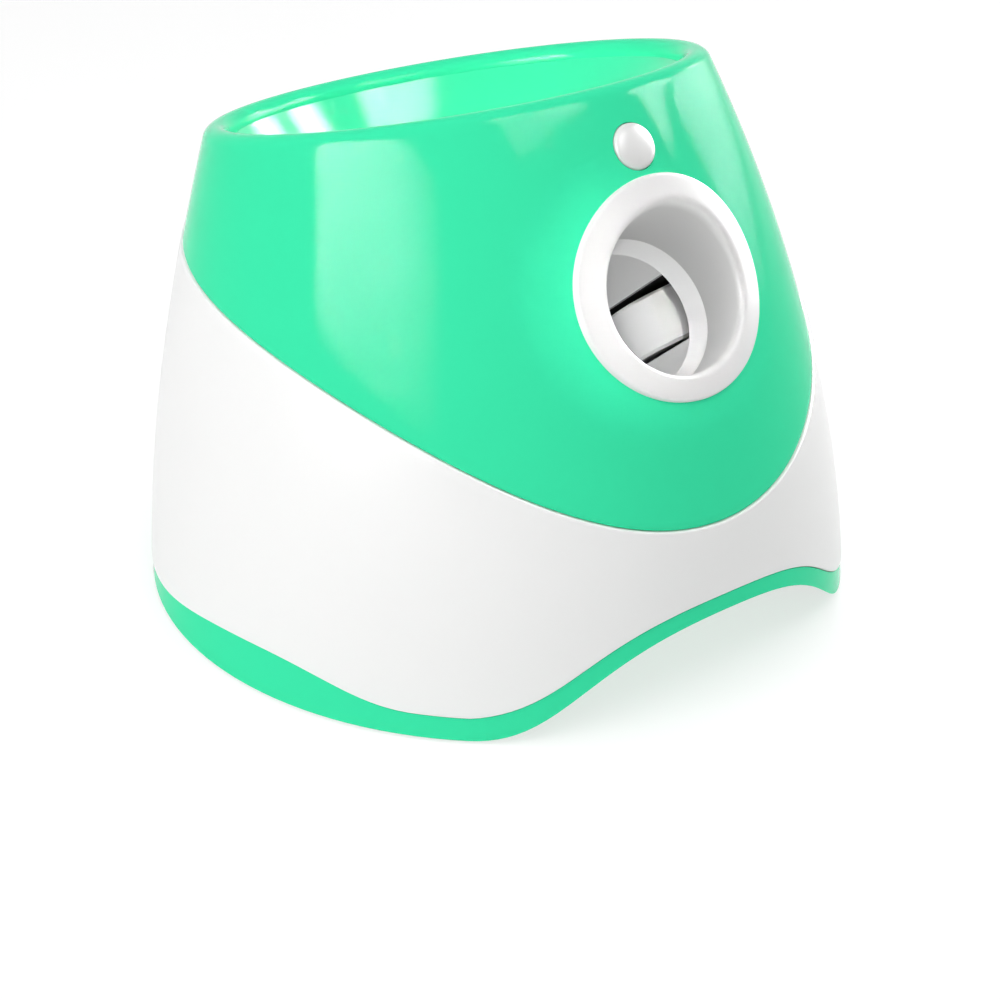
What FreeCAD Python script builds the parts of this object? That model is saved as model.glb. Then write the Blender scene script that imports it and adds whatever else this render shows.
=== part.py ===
import FreeCAD, Part
import math
import os
import re

import Sketcher
from fcgear import fcgear, involute

# Automatic ball launcher for small dogs. Millimetres, +Z up, the mouth faces -Y.
# The origin is under the middle of the outline, on the surface the launcher stands on.

os.makedirs("parts", exist_ok=True)
doc = FreeCAD.newDocument("ball_launcher")
V = FreeCAD.Vector

# ---------------------------------------------------------------------------
# Driving dimensions
# ---------------------------------------------------------------------------
SIZES = {
    # how far the origin stands behind the middle of the foot's outline
    "origin_back": 3.13,
    # outer form: ellipses from the foot to the tilted rim, pulled by a waist
    "foot_half_width": 146,
    "waist_half_width": 133,
    "rim_half_width": 102,
    "foot_half_depth": 149,
    "waist_half_depth": 153,
    "rim_half_depth": 100,
    "waist_shift": 7,
    "rim_shift": 26,
    "rim_height": 196.6,
    "rim_tilt": 14.4,
    "shell_wall": 2.6,
    "body_proud": 0.6,
    "lip_radius": 6,
    "lip_lean": 28,
    # seam between the upper shell and the body, drawn from the side
    "seam_front": 57.5,
    "seam_front_pull": 157,
    "seam_rear_pull": 133,
    "seam_rear": 151,
    # base tray: front arch and the wavy top edge of its skirt
    "ground_gap": 1,
    "tray_floor": 2.8,
    "arch_crown": 40.4,
    "arch_half_span": 98,
    "arch_crown_pull": 60,
    "arch_foot_pull": 31,
    "arch_back": 92,
    "band_over_arch": 6.2,
    "band_half_span": 108,
    "band_crown_pull": 65,
    "band_foot_pull": 44,
    "band_low": 10.3,
    "band_low_y": 95,
    "band_crest": 19.4,
    "band_crest_y": 33,
    "band_rear": 8,
    "band_rear_y": 75,
    "band_low_pull": 20,
    "band_crest_pull": 30,
    "band_fall_pull": 42,
    # ball, mouth and barrel
    "ball_diameter": 50.8,
    "ball_clearance": 1.2,
    "tube_wall": 2.6,
    "mouth_stand": -3.67,
    "mouth_z": 157.7,
    "mouth_tilt": 26,
    "ring_radius": 42,
    "ring_bore_radius": 30,
    "ring_wall": 2.4,
    "ring_proud": 2.4,
    "ring_depth": 45,
    "launch_angle": 40,
    "barrel_inset": 17.9,
    "barrel_z": 140.7,
    "barrel_length": 86,
    "barrel_flange_radius": 34.5,
    "barrel_flange": 5.2,
    "barrel_funnel": 7.3,
    # flywheels and their frame
    "wheel_radius": 32,
    "wheel_width": 22,
    "wheel_nip": 46,
    "nip_at": 42,
    "tyre_wall": 5,
    "tyre_edge": 1.2,
    "hub_web": 3,
    "hub_rim": 3,
    "hub_boss": 8,
    "hub_boss_radius": 5,
    "wheel_gap": 2.5,
    "frame_wall": 2,
    "frame_plate": 3,
    "shaft_radius": 1.6,
    "shaft_length": 30,
    "motor_radius": 14,
    "motor_length": 33,
    "motor_cap": 4,
    "motor_nose_radius": 3.2,
    "motor_screw_circle": 17,
    "ear_radius": 4,
    "frame_screw_length": 10,
    "bracket_x": 71,
    "bracket_top_front": 24,
    "bracket_top_rear": 66,
    "bracket_foot_front": 80,
    "bracket_foot_rear": 36,
    "bracket_foot_thick": 5,
    "bracket_window": 10,
    "bracket_wall": 4,
    "bracket_foot": 12,
    # feed chute and gate
    "bend_radius": 36,
    "chute_top": 121,
    "throat_top": 133,
    "spigot": 9,
    "collar_wall": 2.4,
    "seat_clearance": 0.2,
    "gate_back": 34,
    "gate_z": 117,
    "gate_reach": 42,
    "gate_width": 20,
    "gate_thick": 3,
    "gate_slot_gap": 1.5,
    "gate_shaft_radius": 2,
    "run_clearance": 0.05,
    "gear_module": 0.8,
    "gear_teeth": 28,
    "pinion_teeth": 12,
    "gear_width": 5,
    "gear_x": 24,
    "gear_backlash": 0.15,
    "pinion_angle": 50,
    "pinion_shaft_radius": 1.25,
    "gate_lug": 3,
    "gate_lug_drop": 13,
    "gate_plate": 3,
    "gate_box_length": 14,
    "sensor_radius": 2.5,
    "sensor_drop": 9,
    "gate_motor_width": 12,
    "gate_motor_height": 16,
    "gate_motor_length": 34,
    # hopper bowl
    "bowl_top_drop": 4.6,
    "bowl_mid_width": 75,
    "bowl_mid_depth": 71.5,
    "bowl_mid_shift": 7.5,
    "bowl_mid_z": 166.5,
    "bowl_low_radius": 50,
    "bowl_low_shift": 3.5,
    "bowl_low_z": 147,
    # start button
    "button_stand": 0.09,
    "button_z": 205.2,
    "button_tilt": 34,
    "button_radius": 8.8,
    "button_gap": 0.35,
    "button_proud": 2.2,
    "button_depth": 3.4,
    "button_flange": 1.4,
    "button_stem": 6.8,
    "button_stem_radius": 2.2,
    "button_travel": 1,
    "plunger_radius": 1.7,
    "plunger_length": 2.4,
    "switch_half": 3,
    "switch_tall": 4,
    "board_thick": 1.6,
    "button_board_drop": 12,
    "button_board_half": 8,
    "button_post_radius": 3,
    "board_screw_radius": 1,
    # rear panel
    "panel_half_width": 36,
    "panel_low": 46,
    "panel_high": 74,
    "panel_recess": 6.9,
    "panel_wall": 2.4,
    "switch_x": 16,
    "switch_half_width": 6.4,
    "switch_half_height": 9.6,
    "rocker_radius": 7.6,
    "rocker_half_width": 4.5,
    "rocker_gap": 0.3,
    "rocker_tilt": 11,
    "rocker_face": 5.6,
    "rocker_dish_radius": 24,
    "rocker_pin": 1,
    "rocker_sink": 4,
    "bezel_thick": 1.4,
    "switch_deep": 16,
    "panel_sink": 0.8,
    "jack_radius": 5.5,
    "jack_bore": 2.75,
    "jack_pin": 0.95,
    "jack_depth": 10,
    # battery box, boards and feet
    "cell_radius": 13,
    "cell_length": 50,
    "cell_gap": 0.4,
    "battery_to_board": 95,
    "battery_wall": 2,
    "door_thick": 2.2,
    "contact_room": 3,
    "door_tab": 9,
    "tab_half": 12,
    "board_room": 37.09,
    "control_board_half": 40,
    "control_board_deep": 24,
    "board_post_top": 9,
    "board_post_radius": 3.5,
    "plug_half": 3.5,
    "plug_tall": 5,
    "lead_radius": 0.7,
    "foot_pad_radius": 9,
    "foot_pad_depth": 2,
    "front_foot_room": 21.17,
    "front_foot_y": 80,
    "rear_foot_room": 27.48,
    "rear_foot_y": 95,
    "front_post_room": 11.04,
    "front_post_y": 38,
    "rear_post_room": 12.35,
    "rear_post_y": 60,
    "case_boss_radius": 6.5,
    "case_post_top": 14,
    "case_boss_top": 36,
    "case_screw_length": 26,
    "screw_radius": 1.5,
    "screw_head_radius": 2.8,
    "screw_head": 2,
}

sheet = doc.addObject("Spreadsheet::Sheet", "Sizes")
for row, (name, value) in enumerate(SIZES.items(), 1):
    sheet.set(f"A{row}", name)
    sheet.set(f"B{row}", str(value))
    sheet.setAlias(f"B{row}", name)
doc.recompute()


def linked(text):
    """A size formula with each name written the way the document reads the sheet."""
    return re.sub(
        r"[a-z_][a-z0-9_]*", lambda w: "Sizes." + w.group() if w.group() in SIZES else w.group(), text
    )


def size(text):
    return float(sheet.evalExpression(linked(text)))


FORMULAS = {}


def bind(thing, prop, text):
    FORMULAS[thing.Name, prop] = text
    thing.setExpression(prop, linked(text))


def place(thing, x="0", y="0", z="0", axis=V(1, 0, 0), turn="0"):
    thing.Placement = FreeCAD.Placement(
        V(size(x), size(y), size(z)), FreeCAD.Rotation(axis, size(turn))
    )
    bind(thing, "Placement.Base.x", x)
    bind(thing, "Placement.Base.y", y)
    bind(thing, "Placement.Base.z", z)
    bind(thing, "Placement.Rotation.Angle", turn)
    return thing


# Launcher frame: origin at the barrel's mouth, -Y out along the throw, Z across the wheels.
def in_launcher(thing, x="0", y="0", z="0"):
    return place(
        thing,
        x,
        f"-barrel_y + ({y})*cos(launch_angle) + ({z})*sin(launch_angle)",
        f"barrel_z - ({y})*sin(launch_angle) + ({z})*cos(launch_angle)",
        V(1, 0, 0),
        "-launch_angle",
    )


ALONG = {"x": (V(0, 1, 0), "90"), "y": (V(1, 0, 0), "-90"), "z": (V(0, 0, 1), "0")}


def rod(name, radius, length, at=("0", "0", "0"), along="z"):
    """A cylinder that starts at a point and runs along +X, +Y or +Z."""
    thing = doc.addObject("Part::Cylinder", name)
    bind(thing, "Radius", radius)
    bind(thing, "Height", length)
    axis, turn = ALONG[along]
    return place(thing, *at, axis, turn)


def block(name, low, high):
    """A box between two corners."""
    thing = doc.addObject("Part::Box", name)
    for prop, start, end in zip(("Length", "Width", "Height"), low, high):
        bind(thing, prop, f"({end}) - ({start})")
    return place(thing, *low)


def fuse(name, *shapes):
    thing = doc.addObject("Part::MultiFuse", name)
    thing.Shapes = list(shapes)
    thing.Refine = True
    return thing


def common(name, *shapes):
    thing = doc.addObject("Part::MultiCommon", name)
    thing.Shapes = list(shapes)
    return thing


def cut(name, base, *tools):
    thing = doc.addObject("Part::Cut", name)
    thing.Base = base
    thing.Tool = tools[0] if len(tools) == 1 else fuse(name + "_tools", *tools)
    return thing


def copies(name, thing, spots):
    """The same piece at several spots, as one group of separate solids."""
    group = doc.addObject("Part::Feature", name)
    doc.recompute()
    shapes = []
    for spot in spots:
        shape = thing.Shape.copy()
        shape.translate(V(*[size(value) for value in spot]))
        shapes.append(shape)
    group.Shape = Part.makeCompound(shapes)
    return group


PARTS = []


def part(thing, label):
    thing.Label = label
    PARTS.append(thing)
    return thing


# --- PartDesign helpers -----------------------------------------------------
def new_body(name):
    return doc.addObject("PartDesign::Body", name)


def sketch_on(body, role, offset="0"):
    sketch = body.newObject("Sketcher::SketchObject", body.Name + "_sketch")
    plane = [feature for feature in body.Origin.OriginFeatures if feature.Role == role][0]
    sketch.AttachmentSupport = [(plane, "")]
    sketch.MapMode = "FlatFace"
    bind(sketch, "AttachmentOffset.Base.z", offset)
    return sketch


def outline(sketch, points):
    """A closed polygon whose corners are tied to the sheet."""
    first = sketch.GeometryCount
    spots = [V(size(across), size(up), 0) for across, up in points]
    for index, spot in enumerate(spots):
        sketch.addGeometry(Part.LineSegment(spot, spots[(index + 1) % len(spots)]), False)
    for index in range(len(spots)):
        following = first + (index + 1) % len(spots)
        sketch.addConstraint(Sketcher.Constraint("Coincident", first + index, 2, following, 1))
    for index, (across, up) in enumerate(points):
        for kind, text, value in (
            ("DistanceX", across, spots[index].x), ("DistanceY", up, spots[index].y)
        ):
            number = sketch.addConstraint(Sketcher.Constraint(kind, -1, 1, first + index, 1, value))
            bind(sketch, f"Constraints[{number}]", text)
    return sketch


def ring_in(sketch, radius, across="0", up="0"):
    """A circle whose radius and centre are tied to the sheet."""
    spot = V(size(across), size(up), 0)
    number = sketch.addGeometry(Part.Circle(spot, V(0, 0, 1), size(radius)), False)
    for kind, text in (("DistanceX", across), ("DistanceY", up)):
        value = spot.x if kind == "DistanceX" else spot.y
        tie = sketch.addConstraint(Sketcher.Constraint(kind, -1, 1, number, 3, value))
        bind(sketch, f"Constraints[{tie}]", text)
    tie = sketch.addConstraint(Sketcher.Constraint("Radius", number, size(radius)))
    bind(sketch, f"Constraints[{tie}]", radius)
    return sketch


def pad(body, sketch, length, midplane=False):
    feature = body.newObject("PartDesign::Pad", body.Name + "_pad")
    feature.Profile = sketch
    feature.Midplane = midplane
    bind(feature, "Length", length)
    doc.recompute()
    return feature


def pocket(body, sketch, length, reverse=False):
    feature = body.newObject("PartDesign::Pocket", body.Name + "_pocket")
    feature.Profile = sketch
    feature.Reversed = reverse
    bind(feature, "Length", length)
    doc.recompute()
    return feature


def turned(name, profile):
    """A turned piece: a polygon of radius and height, revolved about the body's Z axis."""
    body = new_body(name)
    sketch = outline(sketch_on(body, "XZ_Plane"), profile)
    feature = body.newObject("PartDesign::Revolution", name + "_turn")
    feature.Profile = sketch
    feature.ReferenceAxis = (sketch, ["V_Axis"])
    feature.Angle = 360
    doc.recompute()
    return body


# ---------------------------------------------------------------------------
# Outer form: tilted ellipses between the foot and the rim, and the seams that part it
# ---------------------------------------------------------------------------
OUTLINE_STEPS = 16
ROLL_STEPS = 8
STATIONS = [0, 0.2, 0.4, 0.6, 0.8, 1]


def pulled(start, pull, end, share):
    return (1 - share) ** 2 * start + 2 * share * (1 - share) * pull + share**2 * end


def half_width(share):
    return pulled(size("foot_half_width"), size("waist_half_width"), size("rim_half_width"), share)


def half_depth(share):
    return pulled(size("foot_half_depth"), size("waist_half_depth"), size("rim_half_depth"), share)


def shift(share):
    return pulled(0, size("waist_shift"), size("rim_shift"), share)


def form_y(height, side):
    """How far the form reaches to the front (-1) or the rear (1) at a height, on its middle line."""
    low, high = 0.0, 1.0
    for _ in range(50):
        share = (low + high) / 2
        tilt = math.radians(size("rim_tilt") * share)
        if size("rim_height") * share - side * half_depth(share) * math.sin(tilt) < height:
            low = share
        else:
            high = share
    return side * shift(share) + half_depth(share) * math.cos(tilt)


def form_x(y, height):
    """How far the form reaches sideways at a distance behind the foot's centre and a height."""
    share = height / size("rim_height")
    return half_width(share) * math.sqrt(1 - ((y - shift(share)) / half_depth(share)) ** 2)


def follow(name, value):
    """A size worked out from the others, kept in the sheet beside them."""
    SIZES[name] = round(value, 3)
    sheet.set(f"A{len(SIZES)}", name)
    sheet.set(f"B{len(SIZES)}", str(SIZES[name]))
    sheet.setAlias(f"B{len(SIZES)}", name)
    doc.recompute()


follow(
    "reach",
    max(
        size(f)
        for f in ("foot_half_width + 14", "foot_half_depth + 11", "waist_half_depth + waist_shift")
    ),
)
follow("mouth_y", form_y(size("mouth_z"), -1) + size("mouth_stand"))
follow("barrel_y", size("mouth_y - barrel_inset"))
follow("button_y", form_y(size("button_z"), -1) + size("button_stand"))
follow("panel_face_y", form_y(size("(panel_low + panel_high)/2"), 1) - size("panel_recess"))
follow("control_board_y", form_y(size("board_post_top"), 1) - size("board_room"))
follow("battery_y", size("control_board_y - battery_to_board"))
follow("front_foot_x", form_x(-size("front_foot_y"), 0) - size("front_foot_room"))
follow("rear_foot_x", form_x(size("rear_foot_y"), 0) - size("rear_foot_room"))
follow("front_post_x", form_x(-size("front_post_y"), size("case_post_top")) - size("front_post_room"))
follow("rear_post_x", form_x(size("rear_post_y"), size("case_post_top")) - size("rear_post_room"))
REACH = size("reach")


def hoop(wide, deep, y, z, tilt=0):
    """A closed smooth ellipse that runs round from the +X side."""
    turn = FreeCAD.Rotation(V(1, 0, 0), -tilt)
    spots = []
    for step in range(OUTLINE_STEPS):
        angle = 2 * math.pi * step / OUTLINE_STEPS
        spots.append(V(0, y, z) + turn * V(wide * math.cos(angle), deep * math.sin(angle), 0))
    bent = Part.BSplineCurve()
    bent.interpolate(spots, PeriodicFlag=True)
    return Part.Wire(bent.toShape())


def form_hoop(share, inset=0.0, lift=0.0):
    """The form's outline at a share of its height, drawn in by an inset and lifted off its plane."""
    tilt = size("rim_tilt") * share
    return hoop(
        half_width(share) - inset,
        half_depth(share) - inset,
        shift(share) + lift * math.sin(math.radians(tilt)),
        size("rim_height") * share + lift * math.cos(math.radians(tilt)),
        tilt,
    )


def form_wall(inset):
    return [form_hoop(share, inset) for share in STATIONS]


def skin(name, *runs):
    """A closed solid whose wall passes through runs of hoops that join end to end."""
    faces = []
    for kind, hoops in runs:
        if kind == "flat":
            faces.append(Part.makeFace(hoops, "Part::FaceMakerBullseye"))
        else:
            faces.extend(Part.makeLoft(hoops, False, kind == "straight").Faces)
    shell = Part.makeShell(faces)
    shell.sewShape()
    solid = Part.makeSolid(shell)
    if solid.Volume < 0:
        solid.reverse()
    thing = doc.addObject("Part::Feature", name)
    thing.Shape = solid
    return thing


def form(name, inset):
    """The solid inside the outer form, drawn in by an inset."""
    wall = form_wall(size(inset))
    return skin(name, ("flat", [wall[0]]), ("smooth", wall), ("flat", [wall[-1]]))


def sleeve(name, outer_inset, inner_inset):
    """The wall between two insets of the outer form, from the foot to the rim."""
    outside, inside = form_wall(size(outer_inset)), form_wall(size(inner_inset))
    return skin(
        name,
        ("flat", [outside[0], inside[0]]),
        ("smooth", outside),
        ("flat", [outside[-1], inside[-1]]),
        ("smooth", inside),
    )


def roll(radius, lean, start, end):
    """Hoops that turn over the rim at a radius about the middle of the rolled lip."""
    middle_inset = size("lip_radius") * math.cos(lean)
    middle_drop = size("lip_radius") * math.sin(lean)
    hoops = []
    for step in range(ROLL_STEPS + 1):
        angle = start + (end - start) * step / ROLL_STEPS
        hoops.append(
            form_hoop(
                1, middle_inset - radius * math.cos(angle), radius * math.sin(angle) - middle_drop
            ),
        )
    return hoops


def curve(*poles):
    bezier = Part.BezierCurve()
    bezier.setPoles([V(*pole) for pole in poles])
    return bezier.toShape()


def pushed(name, edges, corners, start, end, along):
    """A region bounded by edges and extra corners, pushed along X or Y."""
    first = edges[0].valueAt(edges[0].FirstParameter)
    last = edges[-1].valueAt(edges[-1].LastParameter)
    points = [last, *[V(*corner) for corner in corners], first]
    closing = [Part.makeLine(a, b) for a, b in zip(points, points[1:]) if a.distanceToPoint(b) > 1e-6]
    face = Part.Face(Part.Wire(edges + closing))
    face.translate(along * start)
    thing = doc.addObject("Part::Feature", name)
    thing.Shape = face.extrude(along * (end - start))
    return thing


def seam_above(name):
    """Everything above the seam between the upper shell and the body."""
    heights = [
        size(alias) for alias in ("seam_front", "seam_front_pull", "seam_rear_pull", "seam_rear")
    ]
    spots = [-REACH, -REACH / 3, REACH / 3, REACH]
    edge = curve(*[(0, y, z) for y, z in zip(spots, heights)])
    return pushed(
        name, [edge], [(0, REACH, 2 * REACH), (0, -REACH, 2 * REACH)], -REACH, REACH, V(1, 0, 0)
    )


def bell(name, crown, low, half_span, crown_pull, foot_pull, back):
    """The space under a bell-shaped arch that runs in from the front."""
    left = curve(
        (-half_span, 0, low), (foot_pull - half_span, 0, low), (-crown_pull, 0, crown), (0, 0, crown)
    )
    right = curve(
        (0, 0, crown), (crown_pull, 0, crown), (half_span - foot_pull, 0, low), (half_span, 0, low)
    )
    far = 0.95 * REACH
    corners = [(far, 0, low), (far, 0, -far), (-far, 0, -far), (-far, 0, low)]
    return pushed(name, [left, right], corners, -0.98 * REACH, -back, V(0, 1, 0))


def arch_space(name, thick):
    """The space under the front arch, with its roof raised by a thickness."""
    return bell(
        name,
        size("arch_crown") + thick,
        size("ground_gap") + thick,
        size("arch_half_span") + thick,
        size("arch_crown_pull"),
        size("arch_foot_pull"),
        size("arch_back") - thick,
    )


def band_space(name):
    """Everything below the wavy top edge of the skirt."""
    low, crest, rear = size("band_low"), size("band_crest"), size("band_rear")
    low_y, crest_y, rear_y = -size("band_low_y"), -size("band_crest_y"), size("band_rear_y")
    front = bell(
        name + "_front",
        size("arch_crown + band_over_arch"),
        low - 1,
        size("band_half_span"),
        size("band_crown_pull"),
        size("band_foot_pull"),
        size("arch_back") - 2 * size("tray_floor"),
    )
    low_pull, crest_pull, fall_pull = size("band_low_pull"), size("band_crest_pull"), size(
        "band_fall_pull"
    )
    edges = [
        Part.makeLine(V(0, -REACH, low), V(0, low_y, low)),
        curve(
            (0, low_y, low),
            (0, low_y + low_pull, low),
            (0, crest_y - crest_pull, crest),
            (0, crest_y, crest),
        ),
        curve(
            (0, crest_y, crest),
            (0, crest_y + fall_pull, crest),
            (0, rear_y - fall_pull, rear),
            (0, rear_y, rear),
        ),
        Part.makeLine(V(0, rear_y, rear), V(0, REACH, rear)),
    ]
    side = pushed(
        name + "_side", edges, [(0, REACH, -REACH), (0, -REACH, -REACH)], -REACH, REACH, V(1, 0, 0)
    )
    return fuse(name, front, side)


outer_form = form("outer_form", "0")
inner_form = form("inner_form", "shell_wall")
over_seam = seam_above("over_seam")
under_band = band_space("under_band")


# ---------------------------------------------------------------------------
# Shared axes: mouth, button, feed bend and gate
# ---------------------------------------------------------------------------
TUBE_IN = "(ball_diameter/2 + ball_clearance)"
TUBE_OUT = f"({TUBE_IN} + tube_wall)"
COLLAR_IN = f"({TUBE_OUT} + seat_clearance)"
COLLAR_OUT = f"({COLLAR_IN} + collar_wall)"
BEND_Y = "(-barrel_y + barrel_length*cos(launch_angle) + bend_radius*sin(launch_angle))"
BEND_Z = "(barrel_z - barrel_length*sin(launch_angle) + bend_radius*cos(launch_angle))"
CHUTE_Y = f"({BEND_Y} + bend_radius)"
GATE_Y = f"({CHUTE_Y} + gate_back)"
WHEEL_X = "(wheel_nip/2 + wheel_radius)"
WHEEL_ROOM = "(wheel_width/2 + wheel_gap)"
POCKET = "(wheel_radius + wheel_gap)"
FRAME = f"({POCKET} + frame_wall)"
PLATE_LOW = f"({WHEEL_ROOM} + frame_plate)"


def slanted_rod(name, radius, length, y, z, angle, start="0", x="0"):
    """A cylinder that runs inwards and down at an angle below the horizontal."""
    thing = doc.addObject("Part::Cylinder", name)
    bind(thing, "Radius", radius)
    bind(thing, "Height", length)
    return place(
        thing,
        x,
        f"{y} + ({start})*cos({angle})",
        f"{z} - ({start})*sin({angle})",
        V(1, 0, 0),
        f"-90 - {angle}",
    )


def mouth_rod(name, radius, start, length):
    return slanted_rod(name, radius, length, "-mouth_y", "mouth_z", "mouth_tilt", start)


def button_rod(name, radius, start, length, x="0"):
    return slanted_rod(name, radius, length, "-button_y", "button_z", "button_tilt", start, x)


def barrel_rod(name, radius, start, length):
    return slanted_rod(name, radius, length, "-barrel_y", "barrel_z", "launch_angle", start)


# ---------------------------------------------------------------------------
# Upper shell: moulded cover with a rolled lip round the hopper
# ---------------------------------------------------------------------------
LEAN = math.radians(size("lip_lean"))
LIP_INSET = size("lip_radius") * (1 + math.cos(LEAN))
BUTTON_POST_X = "(button_radius + button_flange + 3.6)"


def upper_shell():
    wall = size("shell_wall")
    drop = -size("bowl_top_drop")
    outside, inside = form_wall(0), form_wall(wall)
    lip = roll(size("lip_radius"), LEAN, LEAN, math.pi)
    under_lip = roll(size("lip_radius") - wall, LEAN, math.pi, LEAN)
    inner_end, outer_end = form_hoop(1, LIP_INSET, drop), form_hoop(1, LIP_INSET - wall, drop)
    blank = skin(
        "upper_blank",
        ("flat", [outside[0], inside[0]]),
        ("smooth", outside),
        ("smooth", lip),
        ("straight", [lip[-1], inner_end]),
        ("flat", [inner_end, outer_end]),
        ("straight", [outer_end, under_lip[0]]),
        ("smooth", under_lip),
        ("straight", [under_lip[-1], inside[-1]]),
        ("smooth", inside),
    )
    post_limit = form("post_limit", "shell_wall/2")
    posts, screw_holes = [], []
    for side, sign in (("left", "-1"), ("right", "1")):
        x = f"{sign}*{BUTTON_POST_X}"
        post = button_rod(f"button_post_{side}", "button_post_radius", "0", "button_board_drop", x)
        posts.append(common(f"button_post_trim_{side}", post, post_limit))
        screw_holes.append(button_rod(f"button_post_hole_{side}", "board_screw_radius", "5", "10", x))
    shell = fuse("upper_with_posts", common("upper_walls", blank, over_seam), *posts)
    mouth_hole = barrel_rod(
        "mouth_hole", "ring_bore_radius + ring_wall + seat_clearance", "-ring_depth", "2*ring_depth"
    )
    button_hole = button_rod("button_hole", "button_radius + button_gap", "-10", "20")
    return part(cut("upper_shell", shell, mouth_hole, button_hole, *screw_holes), "upper_shell")


# ---------------------------------------------------------------------------
# Body shell: moulded ring wall between the skirt and the seam
# ---------------------------------------------------------------------------
CASE_POSTS = [
    (f"{side}*{x}", y)
    for x, y in (("front_post_x", "-front_post_y"), ("rear_post_x", "rear_post_y"))
    for side in ("-1", "1")
]


def body_shell():
    wall = sleeve("body_blank", "-body_proud", "shell_wall")
    trimmed = cut("body_walls", wall, over_seam, under_band)
    boss_limit = form("boss_limit", "shell_wall/2")
    bosses, holes = [], []
    for number, (x, y) in enumerate(CASE_POSTS):
        boss = rod(
            f"case_boss_{number}",
            "case_boss_radius",
            "case_boss_top - case_post_top",
            (x, y, "case_post_top"),
        )
        bosses.append(common(f"case_boss_trim_{number}", boss, boss_limit))
        holes.append(
            rod(f"case_boss_hole_{number}", "screw_radius", "case_screw_length", (x, y, "ground_gap"))
        )
    window = block(
        "panel_window",
        ("-panel_half_width - seat_clearance", "0", "panel_low - seat_clearance"),
        ("panel_half_width + seat_clearance", "reach", "panel_high + seat_clearance"),
    )
    return part(
        cut("body_shell", fuse("body_with_bosses", trimmed, *bosses), window, *holes), "body_shell"
    )


# ---------------------------------------------------------------------------
# Base tray: skirt, floor and front arch in one moulding
# ---------------------------------------------------------------------------
FLOOR_TOP = "(ground_gap + tray_floor)"
FOOT_SPOTS = [
    (f"{side}*{x}", y)
    for x, y in (("front_foot_x", "-front_foot_y"), ("rear_foot_x", "rear_foot_y"))
    for side in ("-1", "1")
]
CELL_PITCH = "(2*cell_radius + cell_gap)"
BAY_HALF = "(cell_length + contact_room)"
BAY_END = f"(battery_y + 3*{CELL_PITCH} + cell_gap)"
BRACKET_SCREW_X = "(bracket_x + bracket_foot/2 + 1.5)"
BRACKET_SPOTS = [
    (f"{side}*{BRACKET_SCREW_X}", y)
    for side in ("-1", "1")
    for y in ("-bracket_foot_front + 8", "-bracket_foot_rear - 8")
]
BOARD_SPOTS = [
    (f"{side}*(control_board_half - 5)", f"control_board_y + {y}")
    for y in ("5", "control_board_deep - 5")
    for side in ("-1", "1")
]


def base_tray():
    ground = block("ground", ("-reach", "-reach", "-reach"), ("reach", "reach", "ground_gap"))
    floor = block("floor_layer", ("-reach", "-reach", "-reach"), ("reach", "reach", FLOOR_TOP))
    hollow = cut("tray_hollow", inner_form, floor, arch_space("arch_roof", size("tray_floor")))
    solid = common("tray_solid", outer_form, under_band)
    walls = cut("tray_walls", solid, ground, arch_space("arch_void", 0), hollow)
    posts, holes = [], []
    for number, (x, y) in enumerate(CASE_POSTS):
        posts.append(
            rod(
                f"tray_post_{number}",
                "case_boss_radius",
                "case_post_top - ground_gap",
                (x, y, "ground_gap"),
            ),
        )
        holes.append(
            rod(f"tray_post_hole_{number}", "screw_radius + seat_clearance", "20", (x, y, "0"))
        )
        head = "screw_head + seat_clearance"
        holes.append(
            rod(
                f"tray_post_head_{number}",
                "screw_head_radius + seat_clearance",
                head,
                (x, y, "ground_gap"),
            ),
        )
    for number, (x, y) in enumerate(BOARD_SPOTS):
        height = f"board_post_top - {FLOOR_TOP}"
        posts.append(rod(f"board_post_{number}", "board_post_radius", height, (x, y, FLOOR_TOP)))
        holes.append(
            rod(f"board_post_hole_{number}", "board_screw_radius", "board_post_top", (x, y, FLOOR_TOP))
        )
    for number, (x, y) in enumerate(FOOT_SPOTS):
        holes.append(rod(f"foot_socket_{number}", "foot_pad_radius", "foot_pad_depth", (x, y, "0")))
    for number, (x, y) in enumerate(BRACKET_SPOTS):
        holes.append(rod(f"bracket_hole_{number}", "screw_radius", "20", (x, y, "0")))
        holes.append(
            rod(f"bracket_sink_{number}", "screw_head_radius", "screw_head", (x, y, "ground_gap"))
        )
    holes.append(
        block("battery_opening", (f"-{BAY_HALF}", "battery_y", "0"), (BAY_HALF, BAY_END, "10"))
    )
    tab_end = f"{BAY_END} + door_tab"
    holes.append(
        block("battery_tab_opening", ("-tab_half", f"{BAY_END} - 1", "0"), ("tab_half", tab_end, "10"))
    )
    return part(cut("base_tray", fuse("tray_with_posts", walls, *posts), *holes), "base_tray")


def case_screws():
    doc.recompute()
    shank = rod(
        "case_screw_shank",
        "screw_radius",
        "case_screw_length - screw_head",
        ("0", "0", "ground_gap + screw_head"),
    )
    head = rod("case_screw_head", "screw_head_radius", "screw_head", ("0", "0", "ground_gap"))
    one = fuse("case_screw", shank, head)
    return part(copies("case_screws", one, [(x, y, "0") for x, y in CASE_POSTS]), "case_screws")


def rubber_feet():
    one = turned(
        "foot_pad",
        [
            ("0", "0"),
            ("foot_pad_radius - 1", "0"),
            ("foot_pad_radius - 0.3", "0.7"),
            ("foot_pad_radius - 0.3", "foot_pad_depth"),
            ("0", "foot_pad_depth"),
        ],
    )
    return part(copies("rubber_feet", one, [(x, y, "0") for x, y in FOOT_SPOTS]), "rubber_feet")


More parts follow.
